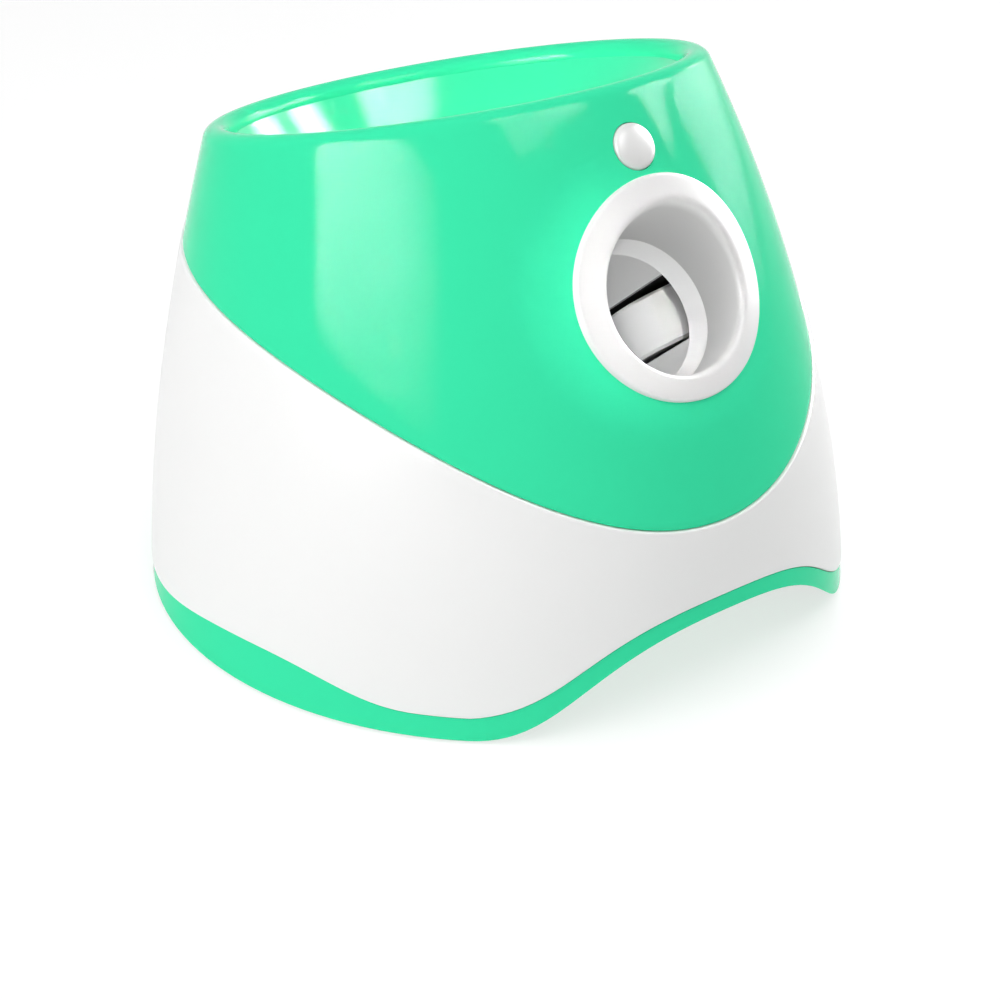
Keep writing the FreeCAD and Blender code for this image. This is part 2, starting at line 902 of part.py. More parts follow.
# ---------------------------------------------------------------------------
# Hopper bowl: dished insert that leads the balls to the throat
# ---------------------------------------------------------------------------
def hopper_bowl():
    wall = size("shell_wall")

    def side(extra):
        tilt = size("rim_tilt")
        mid = hoop(
            size("bowl_mid_width") + extra,
            size("bowl_mid_depth") + extra,
            size(f"{CHUTE_Y} - bowl_mid_shift"),
            size("bowl_mid_z"),
            0.6 * tilt,
        )
        radius = size("bowl_low_radius") + extra
        low = hoop(radius, radius, size(f"{CHUTE_Y} - bowl_low_shift"), size("bowl_low_z"), 0.2 * tilt)
        return [
            form_hoop(1, LIP_INSET - extra, -size("bowl_top_drop")),
            mid,
            low,
            throat(extra, "throat_top"),
        ]

    def throat(extra, height):
        radius = size(TUBE_OUT) if extra else size(TUBE_IN)
        return hoop(radius, radius, size(CHUTE_Y), size(height))

    inside, outside = side(0), side(wall)
    inner_end, outer_end = throat(0, "chute_top"), throat(wall, "chute_top")
    thing = skin(
        "hopper_bowl",
        ("flat", [inside[0], outside[0]]),
        ("smooth", inside),
        ("straight", [inside[-1], inner_end]),
        ("flat", [inner_end, outer_end]),
        ("straight", [outer_end, outside[-1]]),
        ("smooth", outside[::-1]),
    )
    return part(thing, "hopper_bowl")


# ---------------------------------------------------------------------------
# Mouth ring: bezel that hugs the shell, with the bore that guides the ball out
# ---------------------------------------------------------------------------
def mouth_ring():
    flange = common(
        "ring_flange",
        sleeve("ring_band", "-ring_proud", "0"),
        mouth_rod("ring_disc", "ring_radius", "-ring_depth", "2*ring_depth"),
    )
    tube = barrel_rod("ring_tube", "ring_bore_radius + ring_wall", "-ring_depth", "ring_depth")
    neck = common("ring_neck", tube, form("ring_limit", "-ring_proud"))
    bore = barrel_rod("ring_bore", "ring_bore_radius", "-ring_depth - 1", "ring_depth + 2")
    return part(cut("mouth_ring", fuse("ring_blank", flange, neck), bore), "mouth_ring")


# ---------------------------------------------------------------------------
# Start button: domed cap, plunger, tact switch and its small board
# ---------------------------------------------------------------------------
def in_button(thing, x="0", up="0"):
    """Placed on the button's axis, up being the height over the shell."""
    return place(
        thing,
        x,
        f"-button_y - ({up})*cos(button_tilt)",
        f"button_z + ({up})*sin(button_tilt)",
        V(1, 0, 0),
        "90 - button_tilt",
    )


def button_cap():
    cap = turned(
        "button_cap",
        [
            ("0", "-button_stem"),
            ("button_stem_radius", "-button_stem"),
            ("button_stem_radius", "-button_depth - 1.2"),
            ("button_radius + button_flange", "-button_depth - 1.2"),
            ("button_radius + button_flange", "-button_depth"),
            ("button_radius", "-button_depth"),
            ("button_radius", "0.3*button_proud"),
            ("0.93*button_radius", "0.6*button_proud"),
            ("0.75*button_radius", "0.83*button_proud"),
            ("0.45*button_radius", "0.96*button_proud"),
            ("0", "button_proud"),
        ],
    )
    return part(in_button(cap), "button_cap")


def button_switch():
    drop = "button_board_drop"
    plunger = rod("plunger", "plunger_radius", "plunger_length")
    part(in_button(plunger, up="-button_stem - plunger_length"), "switch_plunger")
    case = block(
        "switch_case",
        ("-switch_half", "-switch_half", f"-{drop}"),
        ("switch_half", "switch_half", f"-{drop} + switch_tall"),
    )
    well = rod(
        "switch_well",
        "plunger_radius + run_clearance",
        "20",
        ("0", "0", "-button_stem - plunger_length - button_travel - 0.2"),
    )
    part(in_button(cut("tact_switch", case, well)), "tact_switch")
    board = block(
        "button_board_blank",
        (f"-{BUTTON_POST_X} - 3.5", "-button_board_half", f"-{drop} - board_thick"),
        (f"{BUTTON_POST_X} + 3.5", "button_board_half", f"-{drop}"),
    )
    holes, screws = [], []
    for side, sign in (("left", "-1"), ("right", "1")):
        x = f"{sign}*{BUTTON_POST_X}"
        holes.append(
            rod(
                f"button_board_hole_{side}",
                "board_screw_radius + seat_clearance",
                "10",
                (x, "0", f"-{drop} - 5"),
            ),
        )
        screws.append(
            rod(f"button_screw_{side}", "board_screw_radius", "5.5", (x, "0", f"-{drop} - board_thick"))
        )
        screws.append(
            rod(
                f"button_screw_head_{side}",
                "2.2*board_screw_radius",
                "1.4",
                (x, "0", f"-{drop} - board_thick - 1.4"),
            )
        )
    part(in_button(cut("button_board", board, *holes)), "button_board")
    part(in_button(fuse("button_board_screws", *screws)), "button_board_screws")


# ---------------------------------------------------------------------------
# Launch barrel: slotted tube that the flywheels reach into from both sides
# ---------------------------------------------------------------------------
def launch_barrel():
    tube = rod("barrel_tube", TUBE_OUT, "barrel_length", along="y")
    flange = rod("barrel_flange_disc", "barrel_flange_radius", "barrel_flange", along="y")
    bore = rod("barrel_bore", TUBE_IN, "barrel_length + 2", ("0", "-1", "0"), "y")
    funnel = doc.addObject("Part::Cone", "barrel_funnel")
    bind(funnel, "Radius1", "ring_bore_radius")
    bind(funnel, "Radius2", TUBE_IN)
    bind(funnel, "Height", "barrel_funnel")
    place(funnel, "0", "0", "0", *ALONG["y"])
    slot = block(
        "wheel_slots",
        ("-2*barrel_flange_radius", f"nip_at - {POCKET}", f"-{WHEEL_ROOM}"),
        ("2*barrel_flange_radius", f"nip_at + {POCKET}", WHEEL_ROOM),
    )
    barrel = cut("launch_barrel", fuse("barrel_blank", tube, flange), bore, funnel, slot)
    return part(in_launcher(barrel), "launch_barrel")


# ---------------------------------------------------------------------------
# Wheel frame and its cover: long pocket with round ends that carries both motors
# ---------------------------------------------------------------------------
def pocket_shape(name, radius, low, high):
    """An obround block across both wheels, between two heights."""
    return fuse(
        name,
        block(
            name + "_middle",
            (f"-{WHEEL_X}", f"nip_at - {radius}", low),
            (WHEEL_X, f"nip_at + {radius}", high),
        ),
        rod(name + "_left", radius, f"{high} - ({low})", (f"-{WHEEL_X}", "nip_at", low)),
        rod(name + "_right", radius, f"{high} - ({low})", (WHEEL_X, "nip_at", low)),
    )


FRAME_SCREWS = [
    (f"{side}*({WHEEL_X} + {across})", f"nip_at + {along}")
    for side in ("-1", "1")
    for across, along in (("0", f"{FRAME} + 2.5"), ("0", f"-{FRAME} - 2.5"))
]


BRACKET_TOP_SPOTS = [
    (f"{side}*{BRACKET_SCREW_X}", y)
    for side in ("-1", "1")
    for y in ("bracket_top_front + 8", "bracket_top_rear - 8")
]


def half_saddle(name, above):
    """A half ring round the barrel, over or under the wheel pocket."""
    ring = cut(
        name + "_ring",
        rod(name + "_out", COLLAR_OUT, f"2*{FRAME}", ("0", f"nip_at - {FRAME}", "0"), "y"),
        rod(name + "_in", COLLAR_IN, f"2*{FRAME} + 2", ("0", f"nip_at - {FRAME} - 1", "0"), "y"),
    )
    low, high = (WHEEL_ROOM, "2*barrel_flange_radius") if above else (
        "-2*barrel_flange_radius", f"-{WHEEL_ROOM}"
    )
    zone = block(name + "_zone", ("-reach", "-reach", low), ("reach", "reach", high))
    return common(name, ring, zone)


def wheel_frame():
    blank = pocket_shape("frame_blank", FRAME, f"-{PLATE_LOW}", WHEEL_ROOM)
    room = pocket_shape("frame_room", POCKET, f"-{WHEEL_ROOM}", f"({WHEEL_ROOM} + 1)")
    barrel_path = rod("frame_barrel_path", COLLAR_IN, "reach", ("0", "-10", "0"), "y")
    holes, screw_ears, ear_holes = [], [], []
    for side, x in (("left", f"-{WHEEL_X}"), ("right", WHEEL_X)):
        holes.append(
            rod(
                f"motor_nose_hole_{side}",
                "motor_nose_radius + seat_clearance",
                "20",
                (x, "nip_at", f"-{PLATE_LOW} - 5"),
            ),
        )
        for end, sign in (("front", "-1"), ("rear", "1")):
            y = f"nip_at + {sign}*motor_screw_circle/2"
            holes.append(
                rod(
                    f"motor_screw_hole_{side}_{end}",
                    "screw_radius + seat_clearance",
                    "20",
                    (x, y, f"-{PLATE_LOW} - 5"),
                ),
            )
    for number, (x, y) in enumerate(FRAME_SCREWS):
        screw_ears.append(
            rod(
                f"frame_ear_{number}",
                "ear_radius",
                f"{PLATE_LOW} + {WHEEL_ROOM}",
                (x, y, f"-{PLATE_LOW}"),
            ),
        )
        ear_holes.append(
            rod(
                f"frame_ear_hole_{number}",
                "screw_radius",
                "frame_screw_length",
                (x, y, f"{WHEEL_ROOM} - frame_screw_length"),
            ),
        )
    for number, (x, y) in enumerate(BRACKET_TOP_SPOTS):
        holes.append(
            rod(f"frame_bracket_hole_{number}", "screw_radius", "3", (x, y, f"-{PLATE_LOW} - 1"))
        )
    body = fuse("frame_with_ears", blank, *screw_ears, half_saddle("frame_saddle", False))
    frame = cut("wheel_frame", body, room, barrel_path, *holes, *ear_holes)
    return part(in_launcher(frame), "wheel_frame")


def wheel_cover():
    top = f"({WHEEL_ROOM} + frame_wall)"
    plate = pocket_shape("cover_blank", FRAME, WHEEL_ROOM, top)
    ears, holes = [], []
    for number, (x, y) in enumerate(FRAME_SCREWS):
        ears.append(rod(f"cover_ear_{number}", "ear_radius", "frame_wall", (x, y, WHEEL_ROOM)))
        holes.append(
            rod(f"cover_ear_hole_{number}", "screw_radius + seat_clearance", "20", (x, y, "0"))
        )
    path = rod("cover_barrel_path", COLLAR_IN, "reach", ("0", "-10", "0"), "y")
    body = fuse("cover_with_ears", plate, *ears, half_saddle("cover_saddle", True))
    part(in_launcher(cut("wheel_cover", body, path, *holes)), "wheel_cover")
    screws = []
    for number, (x, y) in enumerate(FRAME_SCREWS):
        length = "frame_screw_length + frame_wall - 0.5"
        screws.append(
            rod(f"frame_screw_{number}", "screw_radius", length, (x, y, f"{top} - ({length})"))
        )
        screws.append(rod(f"frame_screw_head_{number}", "screw_head_radius", "screw_head", (x, y, top)))
    part(in_launcher(fuse("cover_screws", *screws)), "cover_screws")


# ---------------------------------------------------------------------------
# Flywheels: moulded hub with a soft tyre, turning on the motor's shaft
# ---------------------------------------------------------------------------
def flywheel(side, x):
    hub_out, half = "(wheel_radius - tyre_wall)", "wheel_width/2"
    hub = turned(
        f"flywheel_{side}",
        [
            ("shaft_radius", "-hub_boss"),
            ("hub_boss_radius", "-hub_boss"),
            ("hub_boss_radius", "-hub_web/2"),
            (f"{hub_out} - hub_rim", "-hub_web/2"),
            (f"{hub_out} - hub_rim", f"-{half}"),
            (hub_out, f"-{half}"),
            (hub_out, half),
            (f"{hub_out} - hub_rim", half),
            (f"{hub_out} - hub_rim", "hub_web/2"),
            ("hub_boss_radius", "hub_web/2"),
            ("hub_boss_radius", "hub_boss"),
            ("shaft_radius", "hub_boss"),
        ],
    )
    part(in_launcher(hub, x, "nip_at"), f"flywheel_{side}")
    tyre = turned(
        f"tyre_{side}",
        [
            (hub_out, f"-{half}"),
            ("wheel_radius - tyre_edge", f"-{half}"),
            ("wheel_radius", f"-{half} + tyre_edge"),
            ("wheel_radius", f"{half} - tyre_edge"),
            ("wheel_radius - tyre_edge", half),
            (hub_out, half),
        ],
    )
    part(in_launcher(tyre, x, "nip_at"), f"tyre_{side}")
    shaft = rod(f"motor_shaft_{side}", "shaft_radius", "shaft_length")
    part(in_launcher(shaft, x, "nip_at", "hub_boss - shaft_length"), f"motor_shaft_{side}")


# ---------------------------------------------------------------------------
# Drive motors: steel can with a nose, black end cap and two mounting screws
# ---------------------------------------------------------------------------
def motor(side, x):
    can = rod(
        f"motor_can_{side}", "motor_radius", "motor_length", ("0", "0", f"-{PLATE_LOW} - motor_length")
    )
    nose = rod(
        f"motor_nose_{side}", "motor_nose_radius", "frame_plate - 0.5", ("0", "0", f"-{PLATE_LOW}")
    )
    bore = rod(
        f"motor_bore_{side}",
        "shaft_radius + run_clearance",
        "20",
        ("0", "0", "hub_boss - shaft_length - 0.5"),
    )
    holes = [
        rod(
            f"motor_tap_{side}_{end}",
            "screw_radius",
            "4",
            ("0", f"{sign}*motor_screw_circle/2", f"-{PLATE_LOW} - 4"),
        )
        for end, sign in (("front", "-1"), ("rear", "1"))
    ]
    body = cut(f"motor_{side}", fuse(f"motor_body_{side}", can, nose), bore, *holes)
    part(in_launcher(body, x, "nip_at"), f"motor_{side}")


def motor_small_parts():
    caps, screws = [], []
    low = f"(-{PLATE_LOW} - motor_length)"
    for side, x in (("left", f"-{WHEEL_X}"), ("right", WHEEL_X)):
        caps.append(
            rod(
                f"motor_cap_{side}",
                "motor_radius - 0.6",
                "motor_cap",
                (x, "nip_at", f"{low} - motor_cap"),
            ),
        )
        for end, sign in (("front", "-1"), ("rear", "1")):
            y = f"nip_at + {sign}*motor_screw_circle/2"
            screws.append(
                rod(
                    f"motor_screw_{side}_{end}",
                    "screw_radius",
                    "frame_plate + 3.5",
                    (x, y, f"-{PLATE_LOW} - 3.5"),
                ),
            )
            screws.append(
                rod(
                    f"motor_screw_head_{side}_{end}",
                    "screw_head_radius",
                    "0.6*screw_head",
                    (x, y, f"-{WHEEL_ROOM}"),
                ),
            )
    part(in_launcher(fuse("motor_caps", *caps)), "motor_caps")
    part(in_launcher(fuse("motor_screws", *screws)), "motor_screws")


# ---------------------------------------------------------------------------
# Frame brackets: two upright plates that stand the wheel frame on the tray
# ---------------------------------------------------------------------------
BRACKET_FOOT_SCREWS = ("-bracket_foot_front + 8", "-bracket_foot_rear - 8")
BRACKET_TOP_SCREWS = ("bracket_top_front + 8", "bracket_top_rear - 8")


def launcher_y(y, z):
    return f"(-barrel_y + ({y})*cos(launch_angle) + ({z})*sin(launch_angle))"


def launcher_z(y, z):
    return f"(barrel_z - ({y})*sin(launch_angle) + ({z})*cos(launch_angle))"


def frame_bracket(side, sign):
    low_x = "bracket_x" if sign > 0 else "-bracket_x - bracket_wall"
    foot_x = ("bracket_x", "bracket_x + bracket_foot") if sign > 0 else (
        "-bracket_x - bracket_foot", "-bracket_x"
    )
    body = new_body(f"bracket_plate_{side}")
    corners = [
        (launcher_y(along, f"-{PLATE_LOW}"), launcher_z(along, f"-{PLATE_LOW}"))
        for along in ("bracket_top_front", "bracket_top_rear")
    ]
    corners += [("-bracket_foot_rear", FLOOR_TOP), ("-bracket_foot_front", FLOOR_TOP)]
    pad(body, outline(sketch_on(body, "YZ_Plane", low_x), corners), "bracket_wall")
    middle = (f"-(bracket_foot_front + bracket_foot_rear)/2", f"{FLOOR_TOP} + 32")
    window = ring_in(sketch_on(body, "YZ_Plane", low_x), "bracket_window", *middle)
    pocket(body, window, "bracket_wall", True)
    foot = block(
        f"bracket_foot_{side}",
        (foot_x[0], "-bracket_foot_front", FLOOR_TOP),
        (foot_x[1], "-bracket_foot_rear", f"{FLOOR_TOP} + bracket_foot_thick"),
    )
    top = block(
        f"bracket_top_{side}",
        (foot_x[0], "bracket_top_front", f"-{PLATE_LOW} - bracket_wall"),
        (foot_x[1], "bracket_top_rear", f"-{PLATE_LOW}"),
    )
    in_launcher(top, foot_x[0], "bracket_top_front", f"-{PLATE_LOW} - bracket_wall")
    foot_holes = [
        rod(
            f"bracket_foot_hole_{side}_{spot}",
            "screw_radius",
            "30",
            (f"{sign}*{BRACKET_SCREW_X}", y, "0"),
        )
        for spot, y in enumerate(BRACKET_FOOT_SCREWS)
    ]
    top_holes = []
    for spot, y in enumerate(BRACKET_TOP_SCREWS):
        hole = rod(
            f"bracket_top_hole_{side}_{spot}", "screw_radius + seat_clearance", "bracket_wall + 2"
        )
        top_holes.append(
            in_launcher(hole, f"{sign}*{BRACKET_SCREW_X}", y, f"-{PLATE_LOW} - bracket_wall - 1")
        )
    bracket = cut(
        f"frame_bracket_{side}", fuse(f"bracket_blank_{side}", body, foot, top), *foot_holes, *top_holes
    )
    part(bracket, f"frame_bracket_{side}")


def bracket_screws():
    pieces = []
    for side in ("-1", "1"):
        x = f"{side}*{BRACKET_SCREW_X}"
        for y in BRACKET_FOOT_SCREWS:
            number = len(pieces)
            pieces.append(rod(f"bracket_screw_{number}", "screw_radius", "7", (x, y, "ground_gap")))
            pieces.append(
                rod(
                    f"bracket_screw_head_{number}",
                    "screw_head_radius",
                    "screw_head",
                    (x, y, "ground_gap"),
                ),
            )
        for y in BRACKET_TOP_SCREWS:
            number = len(pieces)
            shank = rod(f"bracket_screw_{number}", "screw_radius", "bracket_wall + 2")
            pieces.append(in_launcher(shank, x, y, f"-{PLATE_LOW} - bracket_wall"))
            head = rod(f"bracket_screw_head_{number}", "screw_head_radius", "0.8*screw_head")
            pieces.append(in_launcher(head, x, y, f"-{PLATE_LOW} - bracket_wall - 0.8*screw_head"))
    part(fuse("bracket_screws", *pieces), "bracket_screws")


# ---------------------------------------------------------------------------
# Feed chute: elbow from under the bowl to the barrel, slotted for the gate
# ---------------------------------------------------------------------------
LUG_IN = "(gate_width/2 + gate_slot_gap)"
LUG_OUT = f"({LUG_IN} + gate_lug)"
PINION_GAP = "(gear_module*(gear_teeth + pinion_teeth)/2 + gear_backlash)"
PINION_Y = f"({GATE_Y} + {PINION_GAP}*cos(pinion_angle))"
PINION_Z = f"(gate_z - {PINION_GAP}*sin(pinion_angle))"
SENSOR_Z = "(chute_top - sensor_drop)"


def elbow(name, radius):
    thing = doc.addObject("Part::Torus", name)
    bind(thing, "Radius1", "bend_radius")
    bind(thing, "Radius2", radius)
    bind(thing, "Angle3", "90 + launch_angle")
    facing = FreeCAD.Rotation(V(0, 1, 0), V(0, 0, -1), V(-1, 0, 0), "XYZ")
    thing.Placement = FreeCAD.Placement(V(0, size(BEND_Y), size(BEND_Z)), facing)
    bind(thing, "Placement.Base.y", BEND_Y)
    bind(thing, "Placement.Base.z", BEND_Z)
    return thing


def feed_chute():
    upright = ("0", CHUTE_Y)
    solids = [
        elbow("chute_bend_out", TUBE_OUT),
        rod("chute_up_out", TUBE_OUT, f"chute_top - {BEND_Z}", (*upright, BEND_Z)),
        rod("chute_top_collar", COLLAR_OUT, "spigot + 3", (*upright, "chute_top - 3")),
        barrel_rod("chute_barrel_collar", COLLAR_OUT, "barrel_length - 6", "9"),
    ]
    for side, low, high in (("left", f"-{LUG_OUT}", f"-{LUG_IN}"), ("right", LUG_IN, LUG_OUT)):
        solids.append(
            block(
                f"gate_lug_{side}",
                (low, f"{CHUTE_Y} + 0.8*{TUBE_OUT}", "gate_z - gate_lug_drop"),
                (high, f"{GATE_Y} + 4", "gate_z + 4"),
            )
        )
    voids = [
        elbow("chute_bend_in", TUBE_IN),
        rod("chute_up_in", TUBE_IN, "reach", (*upright, BEND_Z)),
        rod("chute_spigot_seat", COLLAR_IN, "spigot + 1", (*upright, "chute_top")),
        barrel_rod("chute_barrel_seat", COLLAR_IN, "barrel_length - 7", "7"),
        block(
            "gate_slot",
            (f"-{LUG_IN}", f"{CHUTE_Y} + 8", f"{BEND_Z} - bend_radius - 5"),
            (LUG_IN, f"{GATE_Y} + 10", "chute_top"),
        ),
        rod(
            "gate_shaft_hole",
            "gate_shaft_radius + run_clearance",
            "2*reach",
            ("-reach", GATE_Y, "gate_z"),
            "x",
        ),
        rod("sensor_hole", "sensor_radius", "2*reach", ("-reach", CHUTE_Y, SENSOR_Z), "x"),
    ]
    for spot in GATE_SCREWS:
        voids.append(
            rod(
                f"gate_screw_hole_{len(voids)}",
                "board_screw_radius",
                "gate_lug + 1",
                (LUG_IN, *spot),
                "x",
            ),
        )
    part(cut("feed_chute", fuse("chute_blank", *solids), *voids), "feed_chute")


# ---------------------------------------------------------------------------
# Gate: flap that holds the next ball, its shaft, gear pair and drive
# ---------------------------------------------------------------------------
GATE_SCREWS = [(f"{GATE_Y} - 2.5", "gate_z - 6"), (f"{GATE_Y} + 1.5", "gate_z - 10")]
BRACKET_OUT = f"({LUG_OUT} + gate_plate)"


def gear(name, teeth, facing, bore, y, z):
    """An involute spur gear on the gate's axis direction, one tooth or gap turned to face its mate."""
    wire = fcgear.FCWireBuilder()
    involute.CreateExternalGear(wire, size("gear_module"), teeth, 20, split=True, shiftCoeff=-0.05)
    face = Part.Face(Part.Wire([edge.toShape() for edge in wire.wire]))
    solid = face.extrude(V(0, 0, size("gear_width")))
    if bore:
        solid = solid.cut(Part.makeCylinder(size(bore), size("gear_width")))
    blank = doc.addObject("Part::Feature", name)
    blank.Shape = solid
    across = FreeCAD.Rotation(V(0, 1, 0), V(0, 0, 1), V(1, 0, 0), "XYZ")
    turn = across * FreeCAD.Rotation(V(0, 0, 1), facing)
    blank.Placement = FreeCAD.Placement(V(size("gear_x"), size(y), size(z)), turn)
    for axis, text in (("x", "gear_x"), ("y", y), ("z", z)):
        bind(blank, f"Placement.Base.{axis}", text)
    return blank


def gate():
    hub = rod("gate_hub", "2*gate_shaft_radius", "gate_width", ("-gate_width/2", GATE_Y, "gate_z"), "x")
    blade = block(
        "gate_blade",
        ("-gate_width/2", f"{GATE_Y} - gate_reach", "gate_z - gate_thick/2"),
        ("gate_width/2", GATE_Y, "gate_z + gate_thick/2"),
    )
    hole = rod("gate_hub_hole", "gate_shaft_radius", "2*reach", ("-reach", GATE_Y, "gate_z"), "x")
    part(cut("gate_flap", fuse("gate_blank", hub, blade), hole), "gate_flap")
    low_end = f"-{LUG_OUT} - 1.5"
    shaft = rod(
        "gate_shaft",
        "gate_shaft_radius",
        f"gear_x + gear_width + 1 - ({low_end})",
        (low_end, GATE_Y, "gate_z"),
        "x",
    )
    part(shaft, "gate_shaft")
    teeth, small = int(size("gear_teeth")), int(size("pinion_teeth"))
    facing = -size("pinion_angle")
    part(gear("gate_gear", teeth, facing, "gate_shaft_radius", GATE_Y, "gate_z"), "gate_gear")
    pinion = gear("pinion_teeth_blank", small, facing + 180 + 180 / small, None, PINION_Y, PINION_Z)
    stem = rod(
        "pinion_stem",
        "pinion_shaft_radius",
        f"gear_x - {BRACKET_OUT} + gate_plate + 8.5",
        (f"{LUG_OUT} - 8", PINION_Y, PINION_Z),
        "x",
    )
    part(fuse("gate_pinion", pinion, stem), "gate_pinion")


def gate_drive():
    half_width, half_height = "gate_motor_width/2", "gate_motor_height/2"
    box = block(
        "gate_gearbox",
        (f"{LUG_OUT} - gate_box_length", f"{PINION_Y} - {half_width}", f"{PINION_Z} - {half_height}"),
        (LUG_OUT, f"{PINION_Y} + {half_width}", f"{PINION_Z} + {half_height}"),
    )
    can_start = f"{LUG_OUT} - gate_motor_length"
    can = rod(
        "gate_can",
        half_width,
        "gate_motor_length - gate_box_length",
        (can_start, PINION_Y, PINION_Z),
        "x",
    )
    shaft_hole = rod(
        "gate_motor_hole",
        "pinion_shaft_radius + run_clearance",
        "20",
        (f"{LUG_OUT} - 8.4", PINION_Y, PINION_Z),
        "x",
    )
    part(cut("gate_motor", fuse("gate_motor_blank", box, can), shaft_hole), "gate_motor")
    body = new_body("gate_plate_body")
    low, high = "gate_z - gate_lug_drop", "gate_z + 4"
    corners = [
        (f"{GATE_Y} - 5", low),
        (f"{PINION_Y} - 6", f"{PINION_Z} - {half_height}"),
        (f"{PINION_Y} + {half_width}", f"{PINION_Z} - {half_height}"),
        (f"{PINION_Y} + {half_width}", f"{PINION_Z} + {half_height}"),
        (f"{GATE_Y} + 4", high),
        (f"{GATE_Y} - 5", high),
    ]
    pad(body, outline(sketch_on(body, "YZ_Plane", LUG_OUT), corners), "gate_plate")
    holes = [
        rod(
            "plate_shaft_hole",
            "gate_shaft_radius + run_clearance",
            "2*reach",
            ("-reach", GATE_Y, "gate_z"),
            "x",
        ),
        rod(
            "plate_pinion_hole",
            "pinion_shaft_radius + 1",
            "2*reach",
            ("-reach", PINION_Y, PINION_Z),
            "x",
        ),
    ]
    screws = []
    for number, spot in enumerate(GATE_SCREWS):
        holes.append(
            rod(
                f"plate_hole_{number}",
                "board_screw_radius + seat_clearance",
                "2*reach",
                ("-reach", *spot),
                "x",
            ),
        )
        screws.append(
            rod(
                f"gate_screw_{number}",
                "board_screw_radius",
                "gate_plate + 2.5",
                (f"{LUG_OUT} - 2.5", *spot),
                "x",
            ),
        )
        screws.append(
            rod(f"gate_screw_head_{number}", "2.2*board_screw_radius", "1.4", (BRACKET_OUT, *spot), "x")
        )
    part(cut("gate_bracket", body, *holes), "gate_bracket")
    part(fuse("gate_screws", *screws), "gate_screws")


def ball_sensors():
    pieces = []
    for side, start, rim in (
        ("left", f"-{TUBE_IN} - 7", f"-{TUBE_OUT} - 1.6"), ("right", f"{TUBE_IN} + 0.4", TUBE_OUT)
    ):
        at = ("0", CHUTE_Y, SENSOR_Z)
        pieces.append(rod(f"sensor_body_{side}", "sensor_radius", "6.6", (start, *at[1:]), "x"))
        pieces.append(rod(f"sensor_rim_{side}", "sensor_radius + 0.6", "1.6", (rim, *at[1:]), "x"))
    clear = rod("sensor_clear", TUBE_OUT, "20", ("0", CHUTE_Y, f"{SENSOR_Z} - 10"))
    slim = rod("sensor_keep", "sensor_radius", "2*reach", ("-reach", CHUTE_Y, SENSOR_Z), "x")
    rims = cut("sensor_rims", fuse("sensor_all", *pieces), cut("sensor_wall_zone", clear, slim))
    part(rims, "ball_sensors")


# ---------------------------------------------------------------------------
# Control board on its posts
# ---------------------------------------------------------------------------
BOARD_TOP = "(board_post_top + board_thick)"


def control_board():
    blank = block(
        "control_board_blank",
        ("-control_board_half", "control_board_y", "board_post_top"),
        ("control_board_half", "control_board_y + control_board_deep", BOARD_TOP),
    )
    holes, screws = [], []
    for number, (x, y) in enumerate(BOARD_SPOTS):
        holes.append(
            rod(
                f"control_board_hole_{number}", "board_screw_radius + seat_clearance", "40", (x, y, "0")
            ),
        )
        screws.append(
            rod(f"board_screw_{number}", "board_screw_radius", "6", (x, y, f"{BOARD_TOP} - 6"))
        )
        screws.append(
            rod(f"board_screw_head_{number}", "2.2*board_screw_radius", "1.4", (x, y, BOARD_TOP))
        )
    part(cut("control_board", blank, *holes), "control_board")
    part(fuse("board_screws", *screws), "board_screws")

    def chip(number, x, y, wide, deep, tall):
        low = (f"{x} - {wide}/2", f"control_board_y + {y} - {deep}/2", BOARD_TOP)
        high = (f"{x} + {wide}/2", f"control_board_y + {y} + {deep}/2", f"{BOARD_TOP} + {tall}")
        return block(f"board_chip_{number}", low, high)

    chips = [chip(0, 0, 14, 12, 12, 1.8), chip(1, -14, 15, 6, 5, 1.6), chip(2, 14, 15, 8, 6, 1.6)]
    chips += [
        rod(f"board_cap_{x}", "4", "9", (f"{x}", "control_board_y + 18", BOARD_TOP)) for x in (22, -22)
    ]
    part(fuse("board_components", *chips), "board_components")
    plugs = []
    for number, x in enumerate(PLUG_SPOTS):
        low = (f"{x} - plug_half", "control_board_y + 1", BOARD_TOP)
        high = (f"{x} + plug_half", "control_board_y + 1 + 2*plug_half", f"{BOARD_TOP} + plug_tall")
        plugs.append(block(f"board_plug_{number}", low, high))
    part(fuse("board_plugs", *plugs), "board_plugs")


# ---------------------------------------------------------------------------
# Battery box, cells, contacts and the door under them
# ---------------------------------------------------------------------------
CELL_LOW = "(ground_gap + door_thick + cell_gap)"
BAY_TOP = f"({CELL_LOW} + 2*cell_radius + cell_gap)"
TONGUES = (-30, 30)


def battery_box():
    wall = "battery_wall"
    blank = block(
        "bay_blank",
        (f"-{BAY_HALF} - {wall}", f"battery_y - {wall}", FLOOR_TOP),
        (f"{BAY_HALF} + {wall}", f"{BAY_END} + {wall}", f"{BAY_TOP} + {wall}"),
    )
    lug = block(
        "bay_lug",
        (f"-tab_half - 4", f"{BAY_END} + {wall}", FLOOR_TOP),
        (f"tab_half + 4", f"{BAY_END} + {wall} + door_tab + 1", f"{FLOOR_TOP} + 6"),
    )
    room = block("bay_room", (f"-{BAY_HALF}", "battery_y", "0"), (BAY_HALF, BAY_END, BAY_TOP))
    notches = [
        block(
            f"bay_notch_{number}",
            (f"{x} - 6", f"battery_y - {wall} - 1", FLOOR_TOP),
            (f"{x} + 6", "battery_y + 1", f"{FLOOR_TOP} + 2.4"),
        )
        for number, x in enumerate(TONGUES)
    ]
    hole = rod(
        "bay_screw_hole", "screw_radius", "7.4", ("0", f"{BAY_END} + door_tab/2", f"{FLOOR_TOP} - 2")
    )
    part(cut("battery_box", fuse("bay_with_lug", blank, lug), room, *notches, hole), "battery_box")


